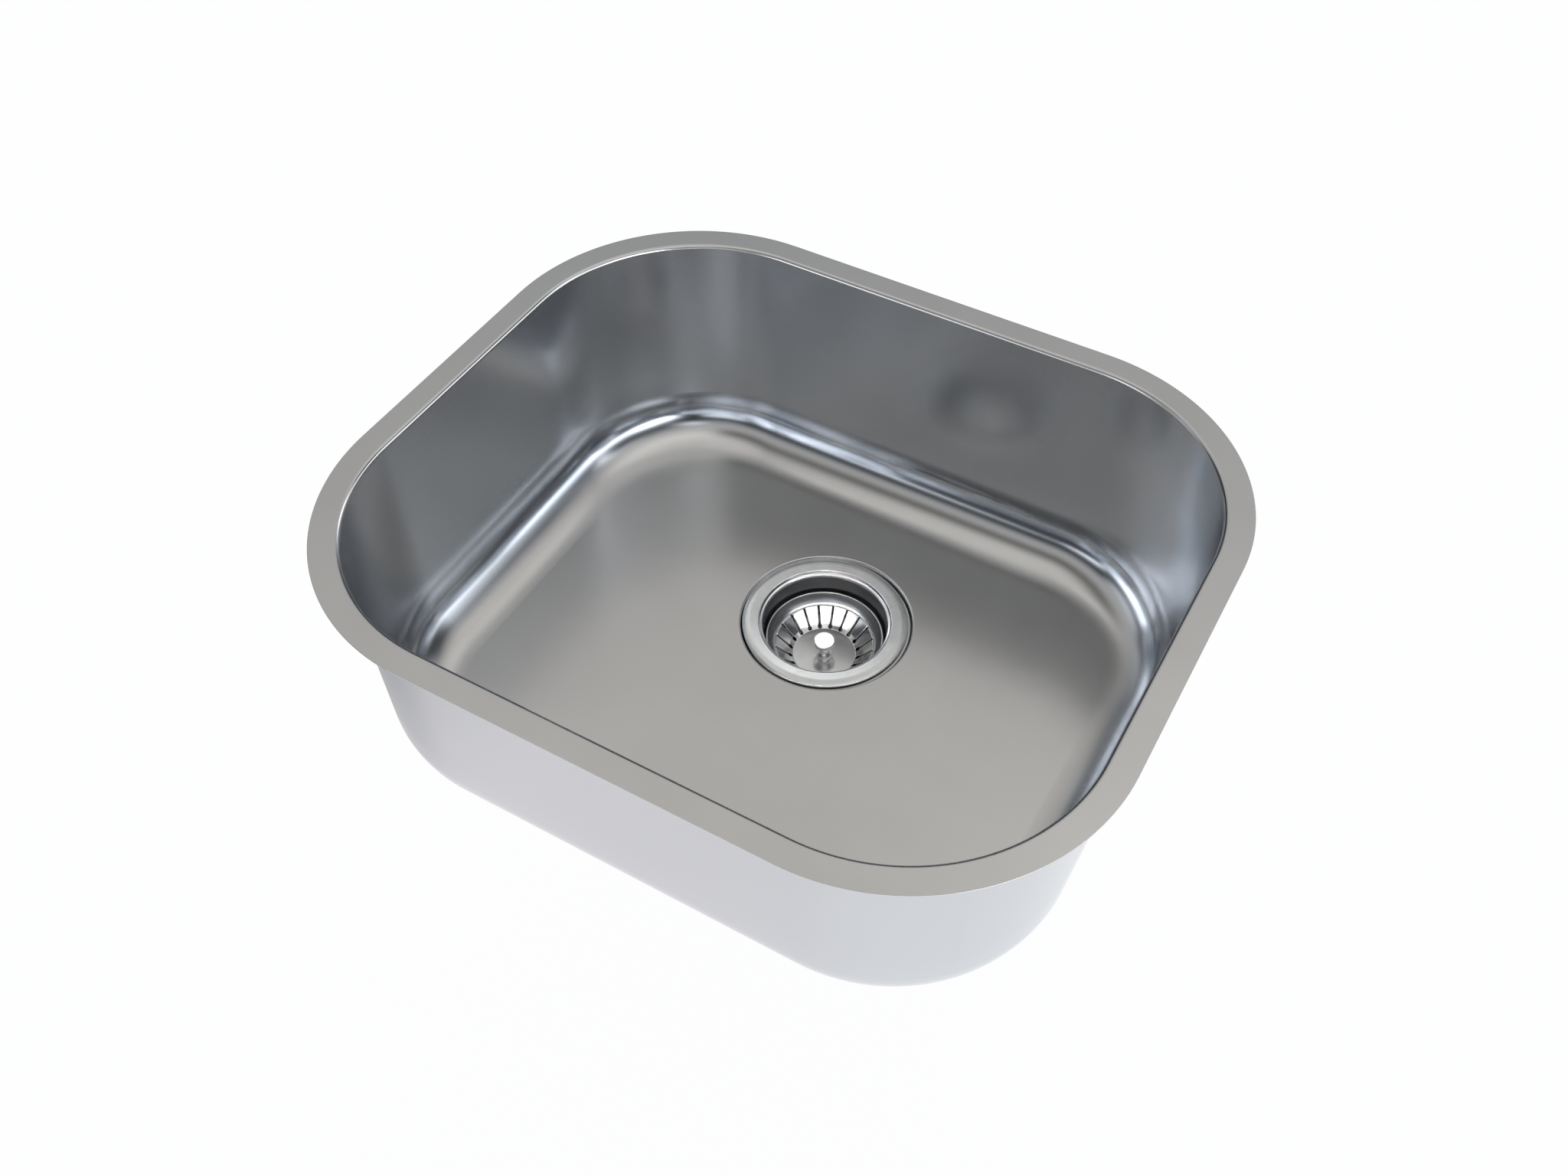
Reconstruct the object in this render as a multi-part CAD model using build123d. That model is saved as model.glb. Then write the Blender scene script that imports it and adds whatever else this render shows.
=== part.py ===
from build123d import *
import math
import os

# Undermount kitchen sink: one drawn stainless bowl with a flat flange, and a lift-out basket
# strainer in its floor. Millimetres, +Z up. The origin is the centre of the flange's top face,
# which is glued up under the worktop. X runs along the long sides, +Y towards the back.

# ---- driving dimensions: the bowl ----
SINK_LENGTH = 500.0          # flange outline along X
SINK_WIDTH = 430.0           # flange outline along Y
FLANGE_CORNER = 135.0        # corner radius of the flange outline
FLANGE_WIDTH = 15.0          # flat part of the flange
SHEET = 0.8                  # thickness of the drawn steel
BEND_RADIUS = 2.8            # top face of the bend from the flange into the wall
WALL_DRAFT = 2.25            # degrees by which the walls lean in
BOWL_DEPTH = 165.0           # flange top to floor
FLOOR_FILLET = 38.0          # inside radius between wall and floor

# ---- driving dimensions: the drain recess in the floor ----
DRAIN_Y = 54.5               # drain centre, behind the middle of the bowl
DRAIN_HOLE = 45.0            # radius of the hole in the floor
RECESS_GAP = 2.3             # edge of the recess to the strainer's rim, all round
RECESS_DEPTH = 3.8
RECESS_SLOPE = 1.4           # how far the recess wall leans in over its depth
RECESS_BEND = 1.3            # its rounded edges
RECESS_BLEND = 6.0           # width of floor round the recess that is pressed with it

# ---- driving dimensions: sound pads under the floor ----
PAD_THICKNESS = 2.5
PAD_CORNER = 12.0
PAD_GAP = 14.0               # bare steel between the pads and the recess or the floor's rounded edge
SIDE_PAD_WIDTH = 92.0
FRONT_PAD_DEPTH = 95.0

# ---- driving dimensions: the strainer body ----
BODY_SHEET = 0.8
BODY_FLANGE = 57.0           # outer radius of its rim
BODY_DROP = 0.3              # rim top below the bowl's floor
RIM_LIP = 1.2                # height of the turned-down outer edge
RIM_BEVEL = 3.2              # width and fall of the bevel inside that edge
RIM_BEVEL_FALL = 1.4
RIM_INNER = 45.6             # inner radius of the rim's face
RIM_FALL = 0.8               # how far the face falls towards the middle
STEP_DEPTH = 1.9             # ledge inside the rim: how far it lies below the face
STEP_WIDTH = 1.5
STEP_LEAN = 0.9              # how far the riser above the ledge leans in
STEP_FALL = 0.35             # slope of the ledge's face
WALL_START = 2.4             # ledge to the top of the straight wall
THROAT = 42.7                # radius of the cup's wall at its top
THROAT_TAPER = 0.4           # how much narrower it is at its foot
CUP_DEPTH = 42.3             # rim top to the seat in the cup's bottom
CUP_CORNER = 6.0             # inside radius at the foot of the wall
SEAT_OUTER = 30.0            # the flat ring that the stopper closes on
SEAT_INNER = 21.5
SEAT_RISE = 2.3              # how far the bottom rises from the seat to the wall
SEAT_BEND = 4.0              # radius where that rise runs out into the seat
BODY_BENDS = [1.0, 1.2, 1.0, 0.5, 1.0, 3.0]  # fold radii from the rim's edge in to the wall
THREAD_DEPTH = 0.7
THREAD_PITCH = 1.8
BODY_THREAD_TOP = 5.6        # below the rim's top
BODY_THREAD_TURNS = 10

# ---- driving dimensions: seals, washer and nut that clamp the body to the floor ----
UNDER_GASKET = 3.0           # thickness
RIM_GASKET_INSET = 1.2       # keeps the foam ring clear of the bends at the rim's edges
FRICTION_WASHER = 1.0
CLAMP_WIDTH = 11.2           # radial width of the gasket, the washer and the nut's flange
NUT_WALL = 4.2
NUT_HEIGHT = 14.0
NUT_FLANGE = 3.5
NUT_LUGS = 8
LUG_WIDTH = 9.0
LUG_INSET = 1.0              # the lugs stop this far inside the flange's edge
FIT_GAP = 0.1                # radial clearance between pieces that are fitted together

# ---- driving dimensions: outlet ----
NIPPLE_RADIUS = 23.0         # root of its thread
NIPPLE_BORE = 18.5
NIPPLE_FLANGE = 28.5
NIPPLE_FLANGE_HEIGHT = 1.6
NIPPLE_LENGTH = 24.0         # seat to the nipple's lower end
NIPPLE_THREAD_TURNS = 7
CROSS_POCKET = 19.8          # radius of the pocket that holds the guide cross
CROSS_DEPTH = 11.7           # seat to the pocket's floor
CROSS_HEIGHT = 3.0
CROSS_RIM = 1.5
CROSS_ARM = 2.4
CROSS_HUB = 6.2
CROSS_BORE = 3.4             # the basket's stem slides in this
TAIL_RADIUS = 19.05          # 1 1/2 inch tube
TAIL_WALL = 1.5
TAIL_LENGTH = 70.0
TAIL_FLANGE = 22.8
TAIL_FLANGE_HEIGHT = 2.5
TAIL_WASHER = 2.5
TAIL_NECK = 19.6             # radius and length of the thicker neck under the flange
TAIL_NECK_LENGTH = 6.0
COUPLING_WALL = 3.2
COUPLING_LIP = 3.0
COUPLING_GRIP = 14.0         # length of nipple thread inside the coupling nut
COUPLING_RIBS = 10
RIB_RADIUS = 1.6

# ---- driving dimensions: the basket ----
BASKET_SHEET = 0.6
BASKET_RIM = 41.0            # outer radius
BASKET_RIM_DEPTH = 17.5      # below the rim of the body
RIM_ROLL = 1.1               # height and width of the rolled rim
BASKET_WALL_FOOT = 35.0      # radius and depth where the plain wall ends
BASKET_WALL_FOOT_DEPTH = 25.4
STEP_IN = 1.1                # the slotted part starts this far inside the plain wall's foot
STEP_RISE = 0.5              # and this far above it, as a small proud edge
BASKET_KNEE = 24.8           # radius and depth where the slotted part turns flatter
BASKET_KNEE_DEPTH = 34.8
BASKET_FLOOR = 22.2          # radius of the flat middle
BASKET_DEPTH = 36.6          # rim of the body to the basket's floor
WALL_BULGE = 0.9             # how far the plain wall swells beyond a straight cone
RIM_FLAT = 0.3               # flat strip inside the rolled rim
BASKET_BENDS = [0.75, 0.75, 5.0, 0.3, 0.9, 1.6, 1.0]  # fold radii from the rim in to the middle
SLOTS = 20
SLOT_WIDTH = 1.1
SLOT_HOLE = 2.9              # width of the round-ended opening at each slot's foot
SLOT_MARGIN = 0.3            # slot's upper end to the foot of the plain wall
SLOT_OVERCUT = 3.0           # how far the slot cutter reaches past the sheet, above and below
KNOB_HEAD = 7.7
KNOB_HEIGHT = 14.7
KNOB_WAIST = 3.7
KNOB_BASE = 5.9
KNOB_HEAD_HEIGHT = 4.4
KNOB_BASE_HEIGHT = 1.2       # its foot's straight edge
KNOB_WAIST_FOOT = 3.4        # its waist starts this far above the basket
KNOB_FLARE = 2.0             # and ends this far below the head
KNOB_LIP = 1.0               # height of the head's bevelled underside
KNOB_DISH = 1.0              # how far the head's middle lies below its edge
KNOB_EDGE = 1.0              # radius of the head's edges
KNOB_BLEND = 1.5             # and of the waist's ends
STEM_RADIUS = 2.5
STEM_IN_KNOB = 8.0
STEM_LENGTH = 31.5
STEM_TIP = 0.6               # bevel at its lower end
SEAL_RADIUS = 26.5
SEAL_BEVEL = 5.5             # width of the bevel on its upper edge
SEAL_EDGE = 1.6              # height of the straight edge below that
SEAL_GAP = 0.2               # between the seal and what it turns on or closes on
RETAINER_RADIUS = 15.0
RETAINER_THICKNESS = 0.8
STEM_NUT_FLATS = 8.0
STEM_NUT_HEIGHT = 4.0
DETENT_DROP = 3.0            # below the guide cross with the basket closed
DETENT_WIRE = 0.5
DETENT_GAP = 0.02            # between the ring and its groove

# ---- places worked out from them ----
FLOOR_Z = -BOWL_DEPTH
RECESS_Z = FLOOR_Z - RECESS_DEPTH
RIM_Z = FLOOR_Z - BODY_DROP
SEAT_Z = RIM_Z - CUP_DEPTH
UNDER_Z = RECESS_Z - SHEET
WASHER_Z = UNDER_Z - UNDER_GASKET
NUT_Z = WASHER_Z - FRICTION_WASHER
NIPPLE_FOOT_Z = SEAT_Z - NIPPLE_LENGTH
CROSS_Z = SEAT_Z - CROSS_DEPTH
TAIL_TOP_Z = NIPPLE_FOOT_Z - TAIL_WASHER
BASKET_Z = RIM_Z - BASKET_DEPTH
SEAL_TOP_Z = BASKET_Z - BASKET_SHEET - SEAL_GAP
SEAL_FOOT_Z = SEAT_Z + SEAL_GAP
RETAINER_Z = SEAL_FOOT_Z - SEAL_GAP
STEM_FOOT_Z = BASKET_Z + STEM_IN_KNOB - STEM_LENGTH
RECESS_RADIUS = BODY_FLANGE + RECESS_GAP
THREAD_CREST = THROAT + BODY_SHEET + THREAD_DEPTH
CLAMP_RADIUS = THREAD_CREST + FIT_GAP + CLAMP_WIDTH
NIPPLE_CREST = NIPPLE_RADIUS + THREAD_DEPTH
DRAFT_TAN = math.tan(math.radians(WALL_DRAFT))
WALL_TURN = math.radians(90 - WALL_DRAFT)
WALL_INSET = FLANGE_WIDTH + BEND_RADIUS * math.tan(WALL_TURN / 2)
FLOOR_INSET = WALL_INSET + BOWL_DEPTH * DRAFT_TAN + FLOOR_FILLET * math.tan(WALL_TURN / 2)


def offset_line(points, radii, distance):
    """The same broken line moved to its right by distance, with the corner radii that keep it parallel."""
    moved, new_radii = [], []
    ways = [(b - a).normalized() for a, b in zip(points, points[1:])]
    sides = [Vector(way.Y, -way.X) for way in ways]
    moved.append(points[0] + sides[0] * distance)
    for i in range(1, len(points) - 1):
        bisector = (sides[i - 1] + sides[i]).normalized()
        moved.append(points[i] + bisector * (distance / bisector.dot(sides[i])))
        turns_right = ways[i - 1].cross(ways[i]).Z < 0
        new_radii.append(radii[i - 1] + (-distance if turns_right else distance))
    moved.append(points[-1] + sides[-1] * distance)
    return moved, new_radii


def pressed_sheet(points, radii, thickness):
    """A sheet of one thickness turned about the Z axis. The points (radius, height) run along its
    top face from the outside inwards, and thickness goes to the right of that line's reverse."""
    top = [Vector(r, z) for r, z in points]
    under, under_radii = offset_line(top, radii, -thickness)
    edges = FilletPolyline(*top, radius=radii).edges()
    edges += FilletPolyline(*under, radius=under_radii).edges()
    edges.append(Edge.make_line(top[0], under[0]))
    edges.append(Edge.make_line(top[-1], under[-1]))
    section = Plane.XZ * make_face(Wire(edges))
    return revolve(section, Axis.Z)


def turned(points):
    """A solid turned about the Z axis from its half section (radius, height)."""
    section = Plane.XZ * make_face(Polyline(*points, close=True))
    return revolve(section, Axis.Z)


def ring(outer, inner, top, height):
    return turned([(inner, top), (outer, top), (outer, top - height), (inner, top - height)])


def thread(root, bite, top, turns):
    """Rolled thread, drawn as separate ridges round a cylinder of the root radius, which they enter
    by bite."""
    points = [(root - bite, top)]
    for turn in range(turns):
        start = top - turn * THREAD_PITCH
        points += [(root, start), (root + THREAD_DEPTH, start - THREAD_PITCH / 2)]
    foot = top - turns * THREAD_PITCH
    points += [(root, foot), (root - bite, foot)]
    return turned(points)


def at_drain(shape):
    return Pos(0, DRAIN_Y, 0) * shape


# ---- the bowl and its pads ----
def rounded_block(inset, radius_inset, top, height, taper):
    outline = RectangleRounded(
        SINK_LENGTH - 2 * inset, SINK_WIDTH - 2 * inset, FLANGE_CORNER - radius_inset
    )
    return extrude(Pos(0, 0, top) * outline, amount=height, dir=(0, 0, -1), taper=taper)


def sink_bowl():
    """Flange, bend, walls and floor of one sheet, with the drain recess pressed into the floor."""
    skin = SHEET / math.cos(math.radians(WALL_DRAFT))
    outer_inset = WALL_INSET - skin
    cavity = rounded_block(WALL_INSET, WALL_INSET, 0, BOWL_DEPTH, WALL_DRAFT)
    cavity = fillet(cavity.faces().sort_by(Axis.Z)[0].edges(), FLOOR_FILLET)
    hull = rounded_block(outer_inset, outer_inset, 0, BOWL_DEPTH + SHEET, WALL_DRAFT)
    hull = fillet(hull.faces().sort_by(Axis.Z)[0].edges(), FLOOR_FILLET + SHEET)
    flange = rounded_block(0, 0, 0, SHEET, 0)
    shell = flange + hull
    underside = shell.faces().filter_by(Axis.Z).sort_by(Axis.Z)[1]
    inner_loop = underside.inner_wires()[0].edges()
    shell = fillet(inner_loop, BEND_RADIUS - SHEET)
    shell -= cavity
    mouth = shell.faces().sort_by(Axis.Z)[-1].inner_wires()[0].edges()
    shell = fillet(mouth, BEND_RADIUS)

    pressed = RECESS_RADIUS + RECESS_BLEND
    shell -= at_drain(Pos(0, 0, FLOOR_Z) * Cylinder(pressed, 4 * SHEET))
    foot = RECESS_RADIUS - RECESS_SLOPE
    recess = pressed_sheet(
        [(pressed, FLOOR_Z), (RECESS_RADIUS, FLOOR_Z), (foot, RECESS_Z), (DRAIN_HOLE, RECESS_Z)],
        [RECESS_BEND, RECESS_BEND],
        SHEET,
    )
    return shell + at_drain(recess)


def sound_pads():
    """Self-adhesive damping pads on the underside of the floor, left, right and in front of the drain."""
    reach_x = SINK_LENGTH / 2 - FLOOR_INSET - PAD_GAP
    reach_y = SINK_WIDTH / 2 - FLOOR_INSET - PAD_GAP
    top = FLOOR_Z - SHEET
    side = RectangleRounded(SIDE_PAD_WIDTH, 2 * reach_y, PAD_CORNER)
    side = extrude(side, amount=-PAD_THICKNESS)
    offset_x = reach_x - SIDE_PAD_WIDTH / 2
    front_width = 2 * (reach_x - SIDE_PAD_WIDTH - PAD_GAP)
    front = RectangleRounded(front_width, FRONT_PAD_DEPTH, PAD_CORNER)
    front = extrude(front, amount=-PAD_THICKNESS)
    return {
        "sound_pad_left": Pos(-offset_x, 0, top) * side,
        "sound_pad_right": Pos(offset_x, 0, top) * side,
        "sound_pad_front": Pos(0, -reach_y + FRONT_PAD_DEPTH / 2, top) * front,
    }


# ---- the strainer body, and what clamps it to the floor ----
def strainer_body():
    """The pressed cup with its rim, ledge, wall and seat, and the rolled thread round its wall."""
    face_outer = BODY_FLANGE - RIM_BEVEL
    face_foot_z = RIM_Z - RIM_FALL
    step_outer = RIM_INNER - STEP_LEAN
    step_z = face_foot_z - STEP_DEPTH
    step_inner = step_outer - STEP_WIDTH
    cup = pressed_sheet(
        [
            (BODY_FLANGE, RIM_Z - RIM_BEVEL_FALL - RIM_LIP),
            (BODY_FLANGE, RIM_Z - RIM_BEVEL_FALL),
            (face_outer, RIM_Z),
            (RIM_INNER, face_foot_z),
            (step_outer, step_z),
            (step_inner, step_z - STEP_FALL),
            (THROAT, step_z - STEP_FALL - WALL_START),
            (THROAT - THROAT_TAPER, SEAT_Z + SEAT_RISE),
            (SEAT_OUTER, SEAT_Z),
            (SEAT_INNER, SEAT_Z),
        ],
        [*BODY_BENDS, CUP_CORNER, SEAT_BEND],
        BODY_SHEET,
    )
    root = THROAT + BODY_SHEET
    bite = 0.8 * BODY_SHEET
    return at_drain(cup + thread(root, bite, RIM_Z - BODY_THREAD_TOP, BODY_THREAD_TURNS))


def rim_gasket():
    """Foam ring between the rim and the recess, cut to the slope of the rim's underside."""
    face_outer = BODY_FLANGE - RIM_BEVEL
    fall = RIM_FALL / (face_outer - RIM_INNER)
    inner, outer = RIM_INNER + RIM_GASKET_INSET, face_outer - RIM_GASKET_INSET
    flush = RIM_Z - BODY_SHEET * math.hypot(1, fall)
    inner_top = flush - fall * (face_outer - inner)
    outer_top = flush - fall * (face_outer - outer)
    points = [(inner, RECESS_Z), (outer, RECESS_Z), (outer, outer_top), (inner, inner_top)]
    return at_drain(turned(points))


def under_gasket():
    return at_drain(ring(CLAMP_RADIUS, THREAD_CREST + FIT_GAP, UNDER_Z, UNDER_GASKET))


def friction_washer():
    return at_drain(ring(CLAMP_RADIUS, THREAD_CREST + FIT_GAP, WASHER_Z, FRICTION_WASHER))


def lock_nut():
    """Ring nut with a flange, and lugs for a spanner."""
    bore = THREAD_CREST + FIT_GAP
    nut = ring(bore + NUT_WALL, bore, NUT_Z, NUT_HEIGHT)
    nut += ring(CLAMP_RADIUS, bore, NUT_Z, NUT_FLANGE)
    lug_length = CLAMP_RADIUS - bore - NUT_WALL / 2
    lug = Pos(CLAMP_RADIUS - lug_length / 2 - LUG_INSET, 0, NUT_Z - NUT_HEIGHT / 2) * Box(
        lug_length, LUG_WIDTH, NUT_HEIGHT
    )
    for place in PolarLocations(0, NUT_LUGS):
        nut += place * lug
    return at_drain(nut)


# ---- the outlet ----
def outlet_nipple():
    """Threaded outlet, brazed under the cup's bottom, with a pocket for the guide cross."""
    spigot = SEAT_INNER - FIT_GAP
    under = SEAT_Z - BODY_SHEET
    flange_foot = under - NIPPLE_FLANGE_HEIGHT
    body = turned(
        [
            (CROSS_POCKET, SEAT_Z),
            (spigot, SEAT_Z),
            (spigot, under),
            (NIPPLE_FLANGE, under),
            (NIPPLE_FLANGE, flange_foot),
            (NIPPLE_RADIUS, flange_foot),
            (NIPPLE_RADIUS, NIPPLE_FOOT_Z),
            (NIPPLE_BORE, NIPPLE_FOOT_Z),
            (NIPPLE_BORE, CROSS_Z),
            (CROSS_POCKET, CROSS_Z),
        ]
    )
    thread_top = NIPPLE_FOOT_Z + NIPPLE_THREAD_TURNS * THREAD_PITCH + THREAD_DEPTH
    return at_drain(body + thread(NIPPLE_RADIUS, THREAD_DEPTH, thread_top, NIPPLE_THREAD_TURNS))


def guide_cross():
    """Four arms across the outlet, with the hole that guides the basket's stem."""
    outer = CROSS_POCKET - FIT_GAP
    top = CROSS_Z + CROSS_HEIGHT
    cross = ring(outer, outer - CROSS_RIM, top, CROSS_HEIGHT)
    cross += ring(CROSS_HUB, CROSS_BORE, top, CROSS_HEIGHT)
    arm_length = outer - CROSS_RIM / 2 - (CROSS_HUB + CROSS_BORE) / 2
    arm = Pos((CROSS_HUB + CROSS_BORE) / 2 + arm_length / 2, 0, top - CROSS_HEIGHT / 2) * Box(
        arm_length, CROSS_ARM, CROSS_HEIGHT
    )
    for place in PolarLocations(0, 4):
        cross += place * arm
    return at_drain(cross)


def tailpiece_washer():
    return at_drain(ring(TAIL_FLANGE, TAIL_RADIUS - TAIL_WALL, NIPPLE_FOOT_Z, TAIL_WASHER))


def tailpiece():
    """Flanged 1 1/2 inch tube that the trap's pipe slides on."""
    bore = TAIL_RADIUS - TAIL_WALL
    tube = ring(TAIL_RADIUS, bore, TAIL_TOP_Z, TAIL_LENGTH)
    tube += ring(TAIL_NECK, bore, TAIL_TOP_Z, TAIL_FLANGE_HEIGHT + TAIL_NECK_LENGTH)
    return at_drain(tube + ring(TAIL_FLANGE, bore, TAIL_TOP_Z, TAIL_FLANGE_HEIGHT))


def coupling_nut():
    """Ribbed nut that pulls the tailpiece's flange up against the nipple."""
    bore = NIPPLE_CREST + FIT_GAP
    outer = bore + COUPLING_WALL
    top = NIPPLE_FOOT_Z + COUPLING_GRIP
    lip_top = TAIL_TOP_Z - TAIL_FLANGE_HEIGHT
    foot = lip_top - COUPLING_LIP
    nut = turned(
        [
            (bore, top),
            (outer, top),
            (outer, foot),
            (TAIL_NECK + FIT_GAP, foot),
            (TAIL_NECK + FIT_GAP, lip_top),
            (bore, lip_top),
        ]
    )
    rib_height = top - foot - 2 * RIB_RADIUS
    rib = Pos(outer, 0, (top + foot) / 2) * Cylinder(RIB_RADIUS, rib_height)
    for place in PolarLocations(0, COUPLING_RIBS):
        nut += place * rib
    return at_drain(nut)


# ---- the basket, which lifts out ----
def basket_cup():
    """Pressed cup with a rolled rim, a plain wall, a ledge, a slotted part and a flat middle."""
    rim_z = RIM_Z - BASKET_RIM_DEPTH
    foot_z = RIM_Z - BASKET_WALL_FOOT_DEPTH
    slotted_top = BASKET_WALL_FOOT - STEP_IN
    inner_rim = BASKET_RIM - RIM_ROLL
    cup = pressed_sheet(
        [
            (BASKET_RIM, rim_z - RIM_ROLL),
            (BASKET_RIM, rim_z),
            (inner_rim - RIM_FLAT, rim_z),
            ((inner_rim + BASKET_WALL_FOOT) / 2 + WALL_BULGE, (rim_z + foot_z) / 2),
            (BASKET_WALL_FOOT, foot_z),
            (slotted_top, foot_z + STEP_RISE),
            (BASKET_KNEE, RIM_Z - BASKET_KNEE_DEPTH),
            (BASKET_FLOOR, BASKET_Z),
            (STEM_RADIUS, BASKET_Z),
        ],
        BASKET_BENDS,
        BASKET_SHEET,
    )
    slot_start, slot_end = BASKET_FLOOR + SLOT_HOLE / 2, BASKET_WALL_FOOT - SLOT_MARGIN
    deep = Pos(0, 0, RIM_Z - (BASKET_WALL_FOOT_DEPTH + BASKET_DEPTH) / 2)
    length = slot_end - slot_start
    height = BASKET_DEPTH - BASKET_WALL_FOOT_DEPTH + 2 * SLOT_OVERCUT
    cut = deep * Pos(slot_start + length / 2, 0, 0) * Box(length, SLOT_WIDTH, height)
    cut += deep * Pos(slot_start, 0, 0) * Cylinder(SLOT_HOLE / 2, height)
    cup -= [place * cut for place in PolarLocations(0, SLOTS)]
    return at_drain(cup)


def basket_knob():
    """Turned knob to lift the basket by, with a narrow waist and a dished head."""
    top = BASKET_Z + KNOB_HEIGHT
    head_foot = top - KNOB_HEAD_HEIGHT
    hole = STEM_RADIUS + FIT_GAP / 2
    outline = [
        (hole, BASKET_Z),
        (KNOB_BASE, BASKET_Z),
        (KNOB_BASE, BASKET_Z + KNOB_BASE_HEIGHT),
        (KNOB_WAIST, BASKET_Z + KNOB_WAIST_FOOT),
        (KNOB_WAIST, head_foot - KNOB_FLARE),
        (KNOB_HEAD, head_foot + KNOB_LIP),
        (KNOB_HEAD, top),
        (0, top - KNOB_DISH),
        (0, BASKET_Z + STEM_IN_KNOB),
        (hole, BASKET_Z + STEM_IN_KNOB),
    ]
    knob = turned(outline)
    edges = knob.edges().filter_by(GeomType.CIRCLE)
    head = edges.filter_by(lambda edge: abs(edge.radius - KNOB_HEAD) < 0.01)
    knob = fillet(head, KNOB_EDGE)
    waist = knob.edges().filter_by(GeomType.CIRCLE)
    waist = waist.filter_by(lambda edge: abs(edge.radius - KNOB_WAIST) < 0.01)
    return at_drain(fillet(waist, KNOB_BLEND))


def basket_stem():
    """Rod from the knob down through the floor, seal and guide cross, grooved for its detent ring."""
    top = BASKET_Z + STEM_IN_KNOB
    rod = Pos(0, 0, top - STEM_LENGTH / 2) * Cylinder(STEM_RADIUS, STEM_LENGTH)
    rod = chamfer(rod.edges().sort_by(Axis.Z)[0], STEM_TIP)
    return at_drain(rod - detent_wire(DETENT_WIRE + DETENT_GAP))


def detent_wire(wire):
    middle = STEM_RADIUS + DETENT_WIRE / 2
    return Pos(0, 0, CROSS_Z - DETENT_DROP) * Torus(middle, wire)


def detent_ring():
    """Rubber ring that rubs in the guide cross and holds the basket up when it is raised."""
    return at_drain(detent_wire(DETENT_WIRE))


def stopper_seal():
    """Rubber disc under the basket that closes the outlet, with a bevelled upper edge."""
    bore = STEM_RADIUS + FIT_GAP
    shoulder = SEAL_RADIUS - SEAL_BEVEL
    points = [
        (bore, SEAL_TOP_Z),
        (shoulder, SEAL_TOP_Z),
        (SEAL_RADIUS, SEAL_FOOT_Z + SEAL_EDGE),
        (SEAL_RADIUS, SEAL_FOOT_Z),
        (bore, SEAL_FOOT_Z),
    ]
    return at_drain(turned(points))


def seal_retainer():
    bore = STEM_RADIUS + FIT_GAP / 2
    return at_drain(ring(RETAINER_RADIUS, bore, RETAINER_Z, RETAINER_THICKNESS))


def stem_nut():
    """Hexagon nut that holds the retainer and the basket on the stem."""
    top = RETAINER_Z - RETAINER_THICKNESS
    hexagon = RegularPolygon(STEM_NUT_FLATS / 2, 6, major_radius=False)
    nut = extrude(Pos(0, 0, top) * hexagon, amount=-STEM_NUT_HEIGHT)
    hole = Pos(0, 0, top - STEM_NUT_HEIGHT / 2) * Cylinder(STEM_RADIUS + FIT_GAP / 2, 2 * STEM_NUT_HEIGHT)
    return at_drain(nut - hole)


def main():
    pieces = {
        "sink_bowl": sink_bowl(),
        **sound_pads(),
        "strainer_body": strainer_body(),
        "rim_gasket": rim_gasket(),
        "under_gasket": under_gasket(),
        "friction_washer": friction_washer(),
        "lock_nut": lock_nut(),
        "outlet_nipple": outlet_nipple(),
        "guide_cross": guide_cross(),
        "tailpiece_washer": tailpiece_washer(),
        "tailpiece": tailpiece(),
        "coupling_nut": coupling_nut(),
        "basket_cup": basket_cup(),
        "basket_knob": basket_knob(),
        "basket_stem": basket_stem(),
        "detent_ring": detent_ring(),
        "stopper_seal": stopper_seal(),
        "seal_retainer": seal_retainer(),
        "stem_nut": stem_nut(),
    }
    os.makedirs("parts", exist_ok=True)
    for name, shape in pieces.items():
        export_step(shape, f"parts/{name}.step")


main()
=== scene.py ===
import math

import bpy
import numpy as np
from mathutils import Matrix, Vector


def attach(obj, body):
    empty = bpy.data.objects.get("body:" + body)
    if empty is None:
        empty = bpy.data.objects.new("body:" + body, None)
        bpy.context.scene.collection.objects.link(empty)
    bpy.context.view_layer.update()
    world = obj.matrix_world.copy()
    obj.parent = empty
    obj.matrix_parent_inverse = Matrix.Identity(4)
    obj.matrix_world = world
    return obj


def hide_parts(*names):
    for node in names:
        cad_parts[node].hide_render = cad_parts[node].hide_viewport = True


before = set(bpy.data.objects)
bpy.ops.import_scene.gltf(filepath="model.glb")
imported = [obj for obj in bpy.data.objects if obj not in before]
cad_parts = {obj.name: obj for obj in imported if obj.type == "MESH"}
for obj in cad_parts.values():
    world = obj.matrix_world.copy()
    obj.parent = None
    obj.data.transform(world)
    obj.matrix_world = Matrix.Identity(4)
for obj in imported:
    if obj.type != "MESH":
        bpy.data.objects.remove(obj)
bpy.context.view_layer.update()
scene = bpy.context.scene

# --- Camera ---
# The sink is seen from above its front right corner, with the lens level. Its place comes from
# the outline of the flange, whose real size is known.
PHOTO_WIDTH_PX = 2048
FOCAL_LENGTH_PX = 2003.4
SENSOR_WIDTH_MM = 36.0
CAMERA_AZIMUTH = -60.15
CAMERA_ELEVATION = 48.90
CAMERA_DISTANCE = 0.8510
CAMERA_AIM = Vector((0.0332, -0.0599, 0.0))


def way(azimuth, elevation=0.0):
    """The direction at an azimuth and an elevation in degrees."""
    azimuth, elevation = math.radians(azimuth), math.radians(elevation)
    level = math.cos(elevation)
    return Vector((math.cos(azimuth) * level, math.sin(azimuth) * level, math.sin(elevation)))


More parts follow.
